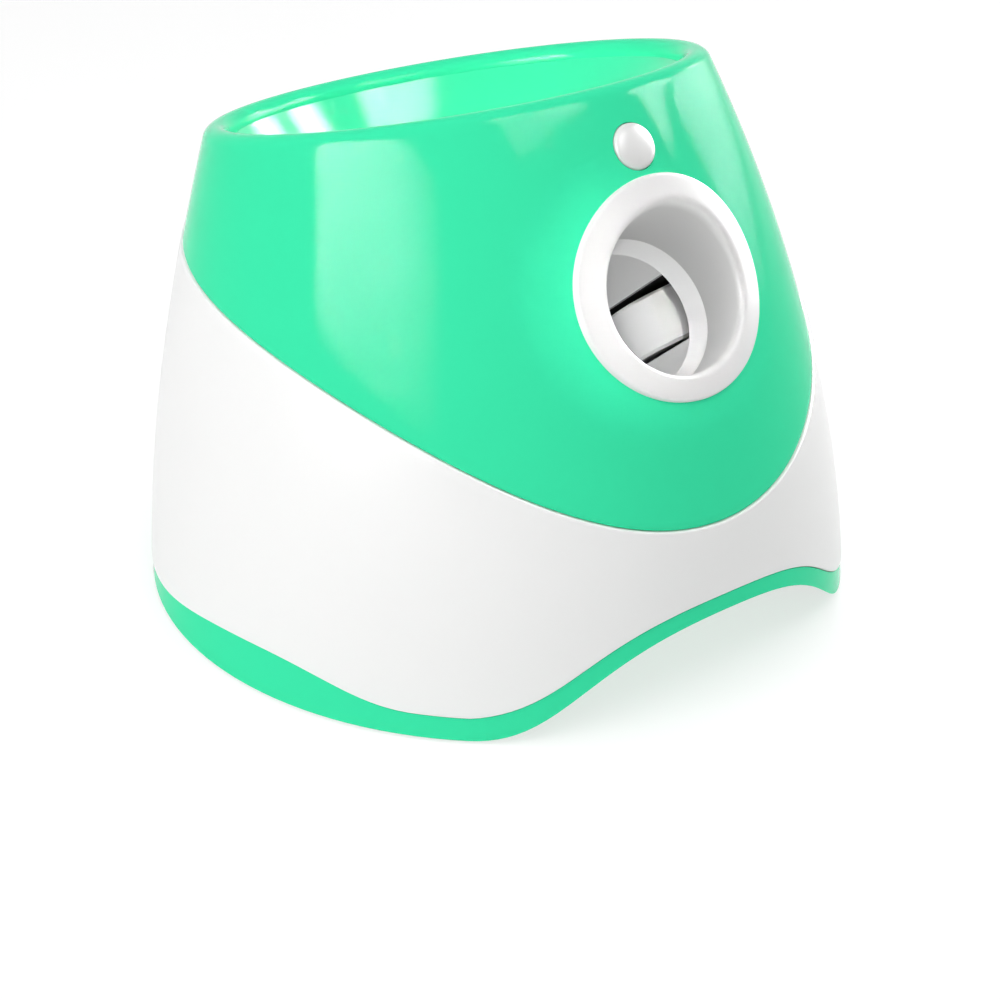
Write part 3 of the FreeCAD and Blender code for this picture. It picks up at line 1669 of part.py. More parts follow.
def battery_cells():
    cells, plates = [], []
    middle = f"{CELL_LOW} + cell_radius"
    for row in range(3):
        y = f"battery_y + cell_gap/2 + {CELL_PITCH}*({row} + 0.5)"
        flip = row % 2
        for column in range(2):
            start = "-cell_length" if column == 0 else "0"
            body_start = f"{start} + 1.6*{flip}"
            nub_start = f"{start}" if flip else f"{start} + cell_length - 1.6"
            name = f"{row}_{column}"
            cells.append(
                rod(f"cell_{name}", "cell_radius", "cell_length - 1.6", (body_start, y, middle), "x")
            )
            cells.append(
                rod(f"cell_nub_{name}", "0.24*cell_radius", "1.6", (nub_start, y, middle), "x")
            )
        for end, low, high in (
            ("left", f"-{BAY_HALF}", "-cell_length - contact_room + 0.6"),
            ("right", f"{BAY_HALF} - 0.6", BAY_HALF),
        ):
            spread = "0.7*cell_radius"
            plates.append(
                block(
                    f"contact_plate_{row}_{end}",
                    (low, f"{y} - {spread}", f"{middle} - {spread}"),
                    (high, f"{y} + {spread}", f"{middle} + {spread}"),
                )
            )
            start = f"-{BAY_HALF} + 0.5" if end == "left" else "cell_length"
            plates.append(
                rod(
                    f"contact_spring_{row}_{end}",
                    "0.3*cell_radius",
                    "contact_room - 0.5",
                    (start, y, middle),
                    "x",
                ),
            )
    part(fuse("battery_cells", *cells), "battery_cells")
    part(fuse("battery_contacts", *plates), "battery_contacts")


def battery_door():
    play = "seat_clearance"
    screw_y = f"{BAY_END} + door_tab/2"
    plate = block(
        "door_plate",
        (f"-{BAY_HALF} + {play}", f"battery_y + {play}", "ground_gap"),
        (f"{BAY_HALF} - {play}", f"{BAY_END} - {play}", "ground_gap + door_thick"),
    )
    tab = block(
        "door_tab_plate",
        (f"-tab_half + {play}", f"{BAY_END} - 5", "ground_gap"),
        (f"tab_half - {play}", f"{BAY_END} + door_tab - {play}", f"{FLOOR_TOP}"),
    )
    under_bay = block(
        "door_tab_relief",
        ("-reach", f"{BAY_END} - 6", "ground_gap + door_thick"),
        ("reach", f"{BAY_END} - {play}", "20"),
    )
    tongues = []
    for number, x in enumerate(TONGUES):
        riser = (
            (f"{x} - 5", f"battery_y + {play}", "ground_gap"),
            (f"{x} + 5", "battery_y + 1", f"{FLOOR_TOP} + 2"),
        )
        hook = (
            (f"{x} - 5", "battery_y - 5", f"{FLOOR_TOP} + {play}"),
            (f"{x} + 5", "battery_y + 1", f"{FLOOR_TOP} + 2"),
        )
        tongues += [block(f"door_riser_{number}", *riser), block(f"door_hook_{number}", *hook)]
    hole = rod("door_hole", "screw_radius + seat_clearance", "20", ("0", screw_y, "0"))
    sink = rod(
        "door_sink",
        "screw_head_radius + seat_clearance",
        "screw_head - 0.6",
        ("0", screw_y, "ground_gap"),
    )
    body = fuse("door_blank", plate, cut("door_tab_trim", tab, under_bay), *tongues)
    part(cut("battery_door", body, hole, sink), "battery_door")
    head_z = "ground_gap"
    shank = rod(
        "door_screw_shank", "screw_radius", "6.5", ("0", screw_y, f"{head_z} + screw_head - 0.6")
    )
    head = rod("door_screw_head", "screw_head_radius", "screw_head - 0.6", ("0", screw_y, head_z))
    part(fuse("door_screw", shank, head), "door_screw")


# ---------------------------------------------------------------------------
# Rear panel: recessed tub with the power rocker and the charging socket
# ---------------------------------------------------------------------------
PANEL_MID = "((panel_low + panel_high)/2)"
HINGE_Y = "(panel_face_y + bezel_thick - rocker_sink)"


def rear_panel():
    rim, low, high = "panel_half_width", "panel_low", "panel_high"
    face_back = "panel_face_y - panel_wall"
    tub = block("panel_tub", (f"-{rim}", face_back, low), (rim, "reach", high))
    recess = block(
        "panel_recess",
        (f"-{rim} + panel_wall", "panel_face_y", f"{low} + panel_wall"),
        (f"{rim} - panel_wall", "reach + 1", f"{high} - panel_wall"),
    )
    tub_walls = common(
        "panel_walls", cut("panel_hollow", tub, recess), form("panel_limit", "panel_sink")
    )
    flange_ring = cut(
        "panel_flange_ring",
        block(
            "panel_flange_zone",
            (f"-{rim} - 4", "20", f"{low} - 4"),
            (f"{rim} + 4", "reach", f"{high} + 4"),
        ),
        block(
            "panel_flange_void",
            (f"-{rim} + 1", "10", f"{low} + 1"),
            (f"{rim} - 1", "reach + 1", f"{high} - 1"),
        ),
    )
    flange_blank = common("panel_flange_blank", flange_ring, inner_form)
    flange = cut("panel_flange", flange_blank, form("panel_inner_form", "2*shell_wall"))
    switch_hole = block(
        "panel_switch_hole",
        ("-switch_x - switch_half_width + 0.7", "100", f"{PANEL_MID} - switch_half_height + 0.7"),
        ("-switch_x + switch_half_width - 0.7", "reach", f"{PANEL_MID} + switch_half_height - 0.7"),
    )
    jack_hole = rod("panel_jack_hole", "jack_radius", "60", ("switch_x", "100", PANEL_MID), "y")
    part(
        cut("rear_panel", fuse("panel_blank", tub_walls, flange), switch_hole, jack_hole), "rear_panel"
    )


def power_switch():
    x = "-switch_x"
    bezel = block(
        "switch_bezel",
        (f"{x} - switch_half_width", "panel_face_y", f"{PANEL_MID} - switch_half_height"),
        (f"{x} + switch_half_width", "panel_face_y + bezel_thick", f"{PANEL_MID} + switch_half_height"),
    )
    case = block(
        "switch_block",
        (
            f"{x} - switch_half_width + 0.7",
            "panel_face_y - switch_deep",
            f"{PANEL_MID} - switch_half_height + 0.7",
        ),
        (f"{x} + switch_half_width - 0.7", "panel_face_y", f"{PANEL_MID} + switch_half_height - 0.7"),
    )
    blades = [
        block(
            f"switch_blade_{number}",
            (f"{x} - 2.4", f"panel_face_y - switch_deep - 6", f"{PANEL_MID} + {lift} - 0.4"),
            (f"{x} + 2.4", "panel_face_y - switch_deep + 1", f"{PANEL_MID} + {lift} + 0.4"),
        )
        for number, lift in enumerate((-5, 5))
    ]
    well = block(
        "rocker_well",
        (
            f"{x} - rocker_half_width - rocker_gap",
            f"{HINGE_Y} - rocker_radius - 2*rocker_gap",
            f"{PANEL_MID} - rocker_radius - rocker_gap",
        ),
        (f"{x} + rocker_half_width + rocker_gap", "reach", f"{PANEL_MID} + rocker_radius + rocker_gap"),
    )
    pin_hole = rod(
        "rocker_pin_hole",
        "rocker_pin + run_clearance",
        "2*rocker_half_width + 2",
        (f"{x} - rocker_half_width - 1", HINGE_Y, PANEL_MID),
        "x",
    )
    part(cut("switch_body", fuse("switch_blank", bezel, case, *blades), well, pin_hole), "switch_body")
    disc = rod(
        "rocker_disc", "rocker_radius", "2*rocker_half_width", ("-rocker_half_width", "0", "0"), "x"
    )
    slab = block(
        "rocker_slab", ("-reach", "-rocker_radius/2", "-reach"), ("reach", "rocker_face", "reach")
    )
    dish = rod(
        "rocker_dish",
        "rocker_dish_radius",
        "2*reach",
        ("-reach", "rocker_face + rocker_dish_radius - 1.3", "0"),
        "x",
    )
    pins = rod(
        "rocker_pins",
        "rocker_pin",
        "2*rocker_half_width + 1.6",
        ("-rocker_half_width - 0.8", "0", "0"),
        "x",
    )
    rocker = fuse("power_rocker", cut("rocker_blank", common("rocker_trim", disc, slab), dish), pins)
    part(place(rocker, x, HINGE_Y, PANEL_MID, V(1, 0, 0), "-rocker_tilt"), "power_rocker")


def charging_socket():
    deep = "(jack_depth + 4)"
    collar = rod(
        "jack_collar", "jack_radius + 1.6", "1.2", ("switch_x", "panel_face_y", PANEL_MID), "y"
    )
    barrel = rod(
        "jack_barrel", "jack_radius", deep, ("switch_x", f"panel_face_y - {deep}", PANEL_MID), "y"
    )
    nut = rod(
        "jack_nut",
        "jack_radius + 2",
        "2.4",
        ("switch_x", "panel_face_y - panel_wall - 2.4", PANEL_MID),
        "y",
    )
    bore = rod(
        "jack_hole", "jack_bore", "40", ("switch_x", "panel_face_y - jack_depth", PANEL_MID), "y"
    )
    body = cut("jack_body", fuse("jack_blank", collar, barrel, nut), bore)
    pin = rod(
        "jack_centre_pin",
        "jack_pin",
        "jack_depth - 1.5",
        ("switch_x", "panel_face_y - jack_depth", PANEL_MID),
        "y",
    )
    part(fuse("charging_socket", body, pin), "charging_socket")


# ---------------------------------------------------------------------------
# Leads: sleeved wires on their real routes, straight runs joined by arcs
# ---------------------------------------------------------------------------
PLUG_SPOTS = (-28, -19, -10, 0, 10, 19, 28)


def lead(name, spots):
    """A round lead through a list of corner points, with every bend an arc tangent to its runs."""
    points = [V(*[size(str(value)) for value in spot]) for spot in spots]
    runs = [b - a for a, b in zip(points, points[1:])]
    edges, tip, radii = [], points[0], []
    for before, corner, after in zip(runs, points[1:-1], runs[1:]):
        turn = before.getAngle(after)
        radius = 0.45 * min(before.Length, after.Length) / math.tan(turn / 2)
        radii.append(round(radius, 1))
        trim = radius * math.tan(turn / 2)
        into = V(before).normalize()
        away = V(after).normalize()
        start, end = corner - into * trim, corner + away * trim
        bisector = (away - into).normalize()
        middle = corner + bisector * (radius / math.cos(turn / 2) - radius)
        edges += [Part.makeLine(tip, start), Part.Arc(start, middle, end).toShape()]
        tip = end
    edges.append(Part.makeLine(tip, points[-1]))
    path = Part.Wire(edges)
    ring = Part.Wire(Part.makeCircle(size("lead_radius"), points[0], runs[0]))
    thing = doc.addObject("Part::Feature", name)
    thing.Shape = path.makePipeShell([ring], True, False)
    print(name, "length", round(path.Length), "mm, bend radii", radii)
    return part(thing, name)


def board_end(number, rise=18):
    """Where a lead comes down into its plug on the control board."""
    x = PLUG_SPOTS[number]
    y = "control_board_y + 1 + plug_half"
    top = f"{BOARD_TOP} + plug_tall"
    return [(x, y, f"{top} + {rise}"), (x, y, top)]


def leads():
    cap_low = f"-{PLATE_LOW} - motor_length - motor_cap"
    for side, sign, number in (("left", -1, 0), ("right", 1, 6)):
        x = f"{sign}*{WHEEL_X}"
        route = [
            (x, launcher_y("nip_at", cap_low), launcher_z("nip_at", cap_low)),
            (x, launcher_y("nip_at", f"{cap_low} - 12"), launcher_z("nip_at", f"{cap_low} - 12")),
            (sign * 58, -82, 40),
            (sign * 62, -46, 14),
            (sign * 65, -6, 9),
            (sign * 61, 34, 11),
            (sign * 65, 74, 9),
            (sign * 61, 106, 14),
            *board_end(number, 16),
        ]
        lead(f"motor_lead_{side}", route)
    gate_end = f"{LUG_OUT} - gate_motor_length"
    route = [
        (gate_end, PINION_Y, PINION_Z),
        (-31, PINION_Y, PINION_Z),
        (-34, 89, 91),
        (-31, 100, 73),
        (-24, 109, 56),
        *board_end(1, 22),
    ]
    lead("gate_lead", route)
    blade_end = "panel_face_y - switch_deep - 6"
    route = [
        ("-switch_x", blade_end, f"{PANEL_MID} - 5"),
        ("-switch_x", 114, f"{PANEL_MID} - 5"),
        (-9.5, 110.5, 50),
        (-1.5, 113.5, 41),
        *board_end(3, 14),
    ]
    lead("power_lead", route)
    jack_end = "panel_face_y - jack_depth - 4"
    route = [
        ("switch_x", jack_end, PANEL_MID),
        ("switch_x", 122.5, PANEL_MID),
        (14.5, 118.8, 54),
        (10.5, 117.8, 46),
        *board_end(4, 20),
    ]
    lead("charge_lead", route)
    route = [(19, f"{BAY_END} + battery_wall", 28), (19, 107.5, 28), *board_end(5, 11.4)]
    lead("battery_lead", route)
    middle = "(button_board_drop + board_thick/2)"
    board_y, board_z = f"-button_y + {middle}*cos(button_tilt)", f"button_z - {middle}*sin(button_tilt)"
    route = [
        (f"-{BUTTON_POST_X} - 3.5", board_y, board_z),
        (-35, board_y, board_z),
        (-62, -56, 178),
        (-88, -28, 160),
        (-103, 10, 138),
        (-112, 50, 112),
        (-101, 82, 86),
        (-74, 106, 64),
        (-46, 122, 44),
        (-20, 128, 34),
        *board_end(2, 10),
    ]
    lead("button_lead", route)


# ---------------------------------------------------------------------------
# The assembly
# ---------------------------------------------------------------------------
upper_shell()
body_shell()
base_tray()
case_screws()
rubber_feet()
hopper_bowl()
mouth_ring()
button_cap()
button_switch()
launch_barrel()
wheel_frame()
wheel_cover()
for side, x in (("left", f"-{WHEEL_X}"), ("right", WHEEL_X)):
    flywheel(side, x)
    motor(side, x)
motor_small_parts()
frame_bracket("left", -1)
frame_bracket("right", 1)
bracket_screws()
feed_chute()
gate()
gate_drive()
ball_sensors()
control_board()
battery_box()
battery_cells()
battery_door()
rear_panel()
power_switch()
charging_socket()
leads()

for thing in PARTS:
    spot = FORMULAS.get((thing.Name, "Placement.Base.y"), "0")
    bind(thing, "Placement.Base.y", f"{spot} - origin_back")
doc.recompute()
for thing in doc.Objects:
    if "Invalid" in thing.State or "Error" in thing.State:
        raise ValueError(f"{thing.Label} did not build")
for thing in PARTS:
    if thing.Shape.isNull() or not thing.Shape.isValid() or not thing.Shape.Solids:
        raise ValueError(f"{thing.Label} is not a closed solid")
    thing.Shape.exportStep(f"parts/{thing.Label}.step")
print(len(PARTS), "pieces")
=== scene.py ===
import math
from functools import cache

import bmesh
import bpy
from mathutils import Matrix, Vector


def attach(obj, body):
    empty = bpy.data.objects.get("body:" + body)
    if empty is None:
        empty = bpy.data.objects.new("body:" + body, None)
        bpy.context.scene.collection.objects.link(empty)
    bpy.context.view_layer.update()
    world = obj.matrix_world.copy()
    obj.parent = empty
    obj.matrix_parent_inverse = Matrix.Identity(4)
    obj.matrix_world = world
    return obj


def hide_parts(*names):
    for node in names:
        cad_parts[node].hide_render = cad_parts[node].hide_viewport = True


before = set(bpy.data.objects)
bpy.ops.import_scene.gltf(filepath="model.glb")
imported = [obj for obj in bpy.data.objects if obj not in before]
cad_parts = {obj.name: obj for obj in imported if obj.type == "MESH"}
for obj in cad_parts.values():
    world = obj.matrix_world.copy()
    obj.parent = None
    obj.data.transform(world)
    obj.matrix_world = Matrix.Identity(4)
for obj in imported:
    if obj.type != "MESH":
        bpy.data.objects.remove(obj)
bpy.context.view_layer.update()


# ---------------------------------------------------------------------------
# Camera, floor and lights.
# The launcher stands on a plain white floor among soft panels: one on its left, two
# on its right, one in front and one overhead. A narrow spotlight reaches its mouth.
VIEW_TURN = math.radians(-37.6)
VIEW_RISE = math.radians(29.03)
VIEW_FAR = 0.94885
LOOKED_AT = Vector((0.0, -0.0059, 0.02368))
LENS = 80.18
FILM_WIDE = 36.0
PANEL_AIM = Vector((0.0, 0.0, 0.12))
PANEL_FAR = 1.5
EVEN = (1.0, 1.0)  # a panel that doesn't fade
SNOOT_AIM = Vector((0.0, -0.0916, 0.1407))
SNOOT_AWAY = Vector((-0.423, -0.677, 0.602))
SNOOT_FAR = 1.4
FLOOR_HALF = 4.0
FLOOR_DROP = 0.0002  # the floor lies a hair under the feet


def direction(turn, rise):
    """The way to a thing at a turn from the front and a rise over level."""
    return Vector((math.sin(turn) * math.cos(rise), -math.cos(turn) * math.cos(rise), math.sin(rise)))


def looking_back(away):
    """How a camera or a lamp is turned to look back along a direction."""
    return (-away).to_track_quat("-Z", "Y")


def in_scene(name, data):
    thing = bpy.data.objects.new(name, data)
    bpy.context.scene.collection.objects.link(thing)
    return thing


def as_mesh(name, shape):
    """The shape as a mesh, which uses the shape up."""
    data = bpy.data.meshes.new(name)
    shape.to_mesh(data)
    shape.free()
    return data


def add_node(tree, kind, inputs=None, **settings):
    """A node with its settings and the values of its inputs."""
    node = tree.nodes.new(kind)
    for setting, value in settings.items():
        setattr(node, setting, value)
    for socket, value in (inputs or {}).items():
        node.inputs[socket].default_value = value
    return node


towards = direction(VIEW_TURN, VIEW_RISE)
camera = in_scene("camera", bpy.data.cameras.new("camera"))
camera.data.lens = LENS
camera.data.sensor_width = FILM_WIDE
camera.data.clip_start = 0.05
camera.location = LOOKED_AT + towards * VIEW_FAR
camera.rotation_euler = looking_back(towards).to_euler()
bpy.context.scene.camera = camera
bpy.context.scene.view_settings.view_transform = "Standard"


def soft_panel(name, turn, rise, size, power, sheen, across=EVEN, up=EVEN):
    """A rectangular softbox that faces the launcher and can fade across and up its face.

    It is two lamps in one place: one lights the surfaces, and the other is what glossy
    ones show, at the power times the sheen. Without a sheen the second one is left out.
    """
    away = direction(math.radians(turn), math.radians(rise))
    facing = looking_back(away).to_matrix().to_4x4()
    for use, share in (("light", 1.0), ("sheen", sheen)):
        if not share:
            continue
        lamp = bpy.data.lights.new(f"{name}_{use}", "AREA")
        lamp.shape = "RECTANGLE"
        lamp.size, lamp.size_y = size
        lamp.energy = power * share
        lamp.use_nodes = True
        tree = lamp.node_tree
        spot = add_node(tree, "ShaderNodeNewGeometry")
        sides = add_node(tree, "ShaderNodeSeparateXYZ")
        product = add_node(tree, "ShaderNodeMath", operation="MULTIPLY")
        tree.links.new(spot.outputs["Parametric"], sides.inputs["Vector"])
        for number, (side, (low, high)) in enumerate((("X", across), ("Y", up))):
            ramp = add_node(tree, "ShaderNodeMapRange", {"To Min": low, "To Max": high})
            tree.links.new(sides.outputs[side], ramp.inputs["Value"])
            tree.links.new(ramp.outputs["Result"], product.inputs[number])
        tree.links.new(product.outputs[0], tree.nodes["Emission"].inputs["Strength"])
        holder = in_scene(lamp.name, lamp)
        holder.matrix_world = Matrix.Translation(PANEL_AIM + away * PANEL_FAR) @ facing
        holder.visible_diffuse = use == "light"
        holder.visible_glossy = use == "sheen"


soft_panel("left_box", -81, 22, (1.20, 0.85), power=9.0, sheen=92.0, across=(2.5, 0.1), up=(0.4, 1.6))
soft_panel("right_box", 94, 11, (0.95, 0.62), power=6.2, sheen=125.0, across=(1.2, 0.8), up=(0.5, 1.8))
soft_panel("right_high_box", 72, 33, (0.55, 0.40), power=0.7, sheen=400.0)
soft_panel("front_box", 8, 57, (0.90, 0.55), power=4.6, sheen=100.0)
soft_panel("top_box", 0, 88, (1.20, 1.20), power=6.5, sheen=0.0)

snoot = bpy.data.lights.new("mouth_snoot", "SPOT")
snoot.energy = 90.0
snoot.spot_size = math.radians(2.4)
snoot.spot_blend = 0.35
snoot.shadow_soft_size = 0.03
snoot_holder = in_scene("mouth_snoot", snoot)
snoot_holder.location = SNOOT_AIM + SNOOT_AWAY * SNOOT_FAR
snoot_holder.rotation_euler = looking_back(SNOOT_AWAY).to_euler()
snoot_holder.visible_glossy = False


def seen_rays(tree, unseen, seen):
    """One value for rays that show a thing, straight or in a glossy surface, and one for its light."""
    path = add_node(tree, "ShaderNodeLightPath")
    total = path.outputs["Is Camera Ray"]
    for kind in ("Is Glossy Ray", "Is Transmission Ray"):
        either = add_node(tree, "ShaderNodeMath", operation="MAXIMUM")
        tree.links.new(total, either.inputs[0])
        tree.links.new(path.outputs[kind], either.inputs[1])
        total = either.outputs[0]
    level = add_node(tree, "ShaderNodeMapRange", {"To Min": unseen, "To Max": seen})
    tree.links.new(total, level.inputs["Value"])
    return level.outputs["Result"]


world = bpy.data.worlds.new("studio")
world.use_nodes = True
sky = world.node_tree.nodes["Background"]
sky.inputs["Color"].default_value = (1, 1, 1, 1)
world.node_tree.links.new(seen_rays(world.node_tree, unseen=0.48, seen=1.0), sky.inputs["Strength"])
bpy.context.scene.world = world

floor_shape = bmesh.new()
bmesh.ops.create_grid(floor_shape, x_segments=2, y_segments=2, size=FLOOR_HALF)
bmesh.ops.translate(floor_shape, verts=floor_shape.verts, vec=(0, 0, -FLOOR_DROP))
floor = in_scene("floor", as_mesh("floor", floor_shape))
floor_paint = bpy.data.materials.new("floor_paint")
floor_paint.use_nodes = True
paint_tree = floor_paint.node_tree
paint = paint_tree.nodes["Principled BSDF"]
paint.inputs["Roughness"].default_value = 0.9
paint.inputs["Specular IOR Level"].default_value = 0.0
paint.inputs["Emission Color"].default_value = (1, 1, 1, 1)
paint_tree.links.new(seen_rays(paint_tree, unseen=0.85, seen=0.32), paint.inputs["Base Color"])
paint_tree.links.new(seen_rays(paint_tree, unseen=0.0, seen=0.7), paint.inputs["Emission Strength"])
floor.data.materials.append(floor_paint)


# ---------------------------------------------------------------------------
# Upper shell.
# Glossy green cover in moulded plastic, with a rolled lip round the hopper.
# Its lower edge dips to a wave over the white body and snaps into it.
FOOT_WIDE, WAIST_WIDE, RIM_WIDE = 0.146, 0.133, 0.102
FOOT_DEEP, WAIST_DEEP, RIM_DEEP = 0.149, 0.153, 0.100
WAIST_BACK, RIM_BACK = 0.007, 0.026
RIM_HIGH = 0.1966
RIM_TILT = math.radians(14.4)
SET_BACK = 0.00313
WALL = 0.0026
LIP = 0.006
LIP_LEAN = math.radians(28)
LIP_END = LIP * (1 + math.cos(LIP_LEAN))
SKIRT_LIFT = -0.0045  # where the skirt inside the lip ends, off the rim's plane
SEAM_HALF = 0.160  # the wave of the seam: half its length, and its curve's heights from the front
SEAM_HEIGHTS = (0.0575, 0.157, 0.133, 0.151)
COVER_EDGE = ((0.0, 0.0009), (0.0009, 0.0003))  # the round at the seam: share over it, inset
COVER_FACE = 0.0035  # the share over the seam where that round ends
BARREL_SPOT = Vector((0.0, -0.0885 - SET_BACK, 0.1407))
BARREL_TILT = math.radians(40)
BARREL_HOLE, BARREL_CUT = 0.0326, 0.08
BUTTON_SPOT = Vector((0.0, -0.0826 - SET_BACK, 0.2052))
BUTTON_TILT = math.radians(34)
BUTTON_HOLE, BUTTON_CUT = 0.00915, 0.02
AROUND = 240  # points round a skin
MERGED = 1e-7  # points closer than this are one


def new_surface(name, inputs):
    """An empty group for the surface of a material: numbers in, and roughness, height and tone out."""
    group = bpy.data.node_groups.new(name, "ShaderNodeTree")
    for label, value in inputs.items():
        socket = group.interface.new_socket(name=label, in_out="INPUT", socket_type="NodeSocketFloat")
        socket.default_value = value
    for label in ("Roughness", "Height", "Tone"):
        group.interface.new_socket(name=label, in_out="OUTPUT", socket_type="NodeSocketFloat")
    return group, add_node(group, "NodeGroupInput"), add_node(group, "NodeGroupOutput")


def moulded_surface():
    """The mould's fine pebble, a slow wander in the gloss and faint rub marks from handling."""
    group, start, end = new_surface(
        "moulded_surface", {"Gloss": 0.2, "Gloss Wander": 0.04, "Pebble Size": 900.0, "Pebble Depth": 0.02}
    )
    place = add_node(group, "ShaderNodeTexCoord")
    slow = add_node(group, "ShaderNodeTexNoise", {"Scale": 11.0, "Detail": 4.0})
    pebble = add_node(group, "ShaderNodeTexNoise", {"Detail": 2.0})
    rub = add_node(group, "ShaderNodeTexNoise", {"Scale": 140.0, "Detail": 6.0})
    centred = add_node(group, "ShaderNodeMath", {1: 0.5}, operation="SUBTRACT")
    wander = add_node(group, "ShaderNodeMath", operation="MULTIPLY_ADD")
    marks = add_node(group, "ShaderNodeMapRange", {"From Min": 0.62, "From Max": 0.75, "To Max": 0.05})
    rough = add_node(group, "ShaderNodeMath", operation="ADD", use_clamp=True)
    height = add_node(group, "ShaderNodeMath", operation="MULTIPLY")
    links = group.links
    for texture in (slow, pebble, rub):
        links.new(place.outputs["Object"], texture.inputs["Vector"])
    links.new(start.outputs["Pebble Size"], pebble.inputs["Scale"])
    links.new(slow.outputs["Fac"], centred.inputs[0])
    links.new(centred.outputs[0], wander.inputs[0])
    links.new(start.outputs["Gloss Wander"], wander.inputs[1])
    links.new(start.outputs["Gloss"], wander.inputs[2])
    links.new(rub.outputs["Fac"], marks.inputs["Value"])
    links.new(wander.outputs[0], rough.inputs[0])
    links.new(marks.outputs["Result"], rough.inputs[1])
    links.new(rough.outputs[0], end.inputs["Roughness"])
    links.new(pebble.outputs["Fac"], height.inputs[0])
    links.new(start.outputs["Pebble Depth"], height.inputs[1])
    links.new(height.outputs[0], end.inputs["Height"])
    links.new(slow.outputs["Fac"], end.inputs["Tone"])
    return group


MOULDED = moulded_surface()


def toned(name, kind, looks, colour, shade, relief, strength):
    """A material between two tones of its colour, with a kind of surface that looks a certain way."""
    material = bpy.data.materials.new(name)
    material.use_nodes = True
    tree = material.node_tree
    skin = tree.nodes["Principled BSDF"]
    surface = add_node(tree, "ShaderNodeGroup", looks, node_tree=kind)
    tones = add_node(tree, "ShaderNodeMix", {"A": (*shade, 1), "B": (*colour, 1)}, data_type="RGBA")
    bump = add_node(tree, "ShaderNodeBump", {"Distance": relief, "Strength": strength})
    tree.links.new(surface.outputs["Tone"], tones.inputs["Factor"])
    tree.links.new(tones.outputs["Result"], skin.inputs["Base Color"])
    tree.links.new(surface.outputs["Roughness"], skin.inputs["Roughness"])
    tree.links.new(surface.outputs["Height"], bump.inputs["Height"])
    tree.links.new(bump.outputs["Normal"], skin.inputs["Normal"])
    return material, skin


def moulding(name, colour, shade, gloss=0.2, pebble=(900.0, 0.02), coat=0.0, shine=0.07):
    """A moulded plastic. Its pebble is given as a fineness and a depth."""
    looks = {"Gloss": gloss, "Pebble Size": pebble[0], "Pebble Depth": pebble[1]}
    material, skin = toned(name, MOULDED, looks, colour, shade, relief=0.001, strength=0.4)
    skin.inputs["IOR"].default_value = 1.5
    skin.inputs["Specular IOR Level"].default_value = shine
    skin.inputs["Coat Weight"].default_value = coat
    skin.inputs["Coat Roughness"].default_value = 0.06
    return material


def pulled(start, pull, end, share):
    return (1 - share) ** 2 * start + 2 * share * (1 - share) * pull + share**2 * end


def bezier(a, b, c, d, t):
    return (1 - t) ** 3 * a + 3 * t * (1 - t) ** 2 * b + 3 * t**2 * (1 - t) * c + t**3 * d


def on_form(share, turn, inset=0.0, lift=0.0):
    """A point of the tilted ellipse at a share of the height, drawn in and lifted off its plane."""
    wide = pulled(FOOT_WIDE, WAIST_WIDE, RIM_WIDE, share) - inset
    deep = pulled(FOOT_DEEP, WAIST_DEEP, RIM_DEEP, share) - inset
    back = pulled(0.0, WAIST_BACK, RIM_BACK, share)
    tilt = RIM_TILT * share
    along = deep * math.sin(turn)
    return Vector(
        (
            wide * math.cos(turn),
            back + along * math.cos(tilt) + lift * math.sin(tilt) - SET_BACK,
            RIM_HIGH * share - along * math.sin(tilt) + lift * math.cos(tilt),
        )
    )


def share_at(turn, height_over):
    """The share of the height where the form crosses an edge given as a height over each point."""
    low, high = 0.0, 1.0
    for _ in range(40):
        middle = (low + high) / 2
        point = on_form(middle, turn)
        if point.z < height_over(point):
            low = middle
        else:
            high = middle
    return (low + high) / 2


def seam_height(point):
    """The wave between the upper shell and the body, seen from the side."""
    return bezier(*SEAM_HEIGHTS, (point.y + SET_BACK + SEAM_HALF) / (2 * SEAM_HALF))


@cache
def over_seam(turn):
    return share_at(turn, seam_height)


def at_rim(turn):
    return 1.0


def moved(edge, rise):
    """An edge of the form, moved up by a share of the height."""
    return lambda turn: edge(turn) + rise


def form_row(edge, inset):
    return lambda turn: on_form(edge(turn), turn, inset)


def rows_between(first, last, steps, inset):
    """Rows of the form at even steps from one edge to another."""
    return [
        form_row(lambda turn, t=step / steps: first(turn) * (1 - t) + last(turn) * t, inset)
        for step in range(steps + 1)
    ]


def roll_row(radius, angle):
    """A row of the lip, at a radius and an angle about the middle of its roll."""
    inset = LIP * math.cos(LIP_LEAN) - radius * math.cos(angle)
    lift = radius * math.sin(angle) - LIP * math.sin(LIP_LEAN)
    return lambda turn: on_form(1.0, turn, inset, lift)


def wrap(rows, around=AROUND):
    """A skin that goes once round: each row gives a point for every turn."""
    shell = bmesh.new()
    bmesh.ops.create_grid(shell, x_segments=around, y_segments=len(rows) - 1, size=0.5)
    for vert in shell.verts:
        turn = 2 * math.pi * (vert.co.x + 0.5)
        vert.co = rows[round((vert.co.y + 0.5) * (len(rows) - 1))](turn)
    bmesh.ops.remove_doubles(shell, verts=shell.verts, dist=MERGED)
    bmesh.ops.recalc_face_normals(shell, faces=shell.faces)
    return shell


def stood_on(shape, spot, tilt):
    """Turns a shape made about +Z to face out of the shell at a tilt over level, and moves it there."""
    leaning = Matrix.Rotation(math.pi / 2 - tilt, 3, "X")
    bmesh.ops.rotate(shape, verts=shape.verts, cent=(0, 0, 0), matrix=leaning)
    bmesh.ops.translate(shape, verts=shape.verts, vec=spot)
    return shape


def round_cutter(radius, length, spot, tilt):
    cutter = bmesh.new()
    bmesh.ops.create_cone(cutter, cap_ends=True, segments=96, radius1=radius, radius2=radius, depth=length)
    return stood_on(cutter, spot, tilt)


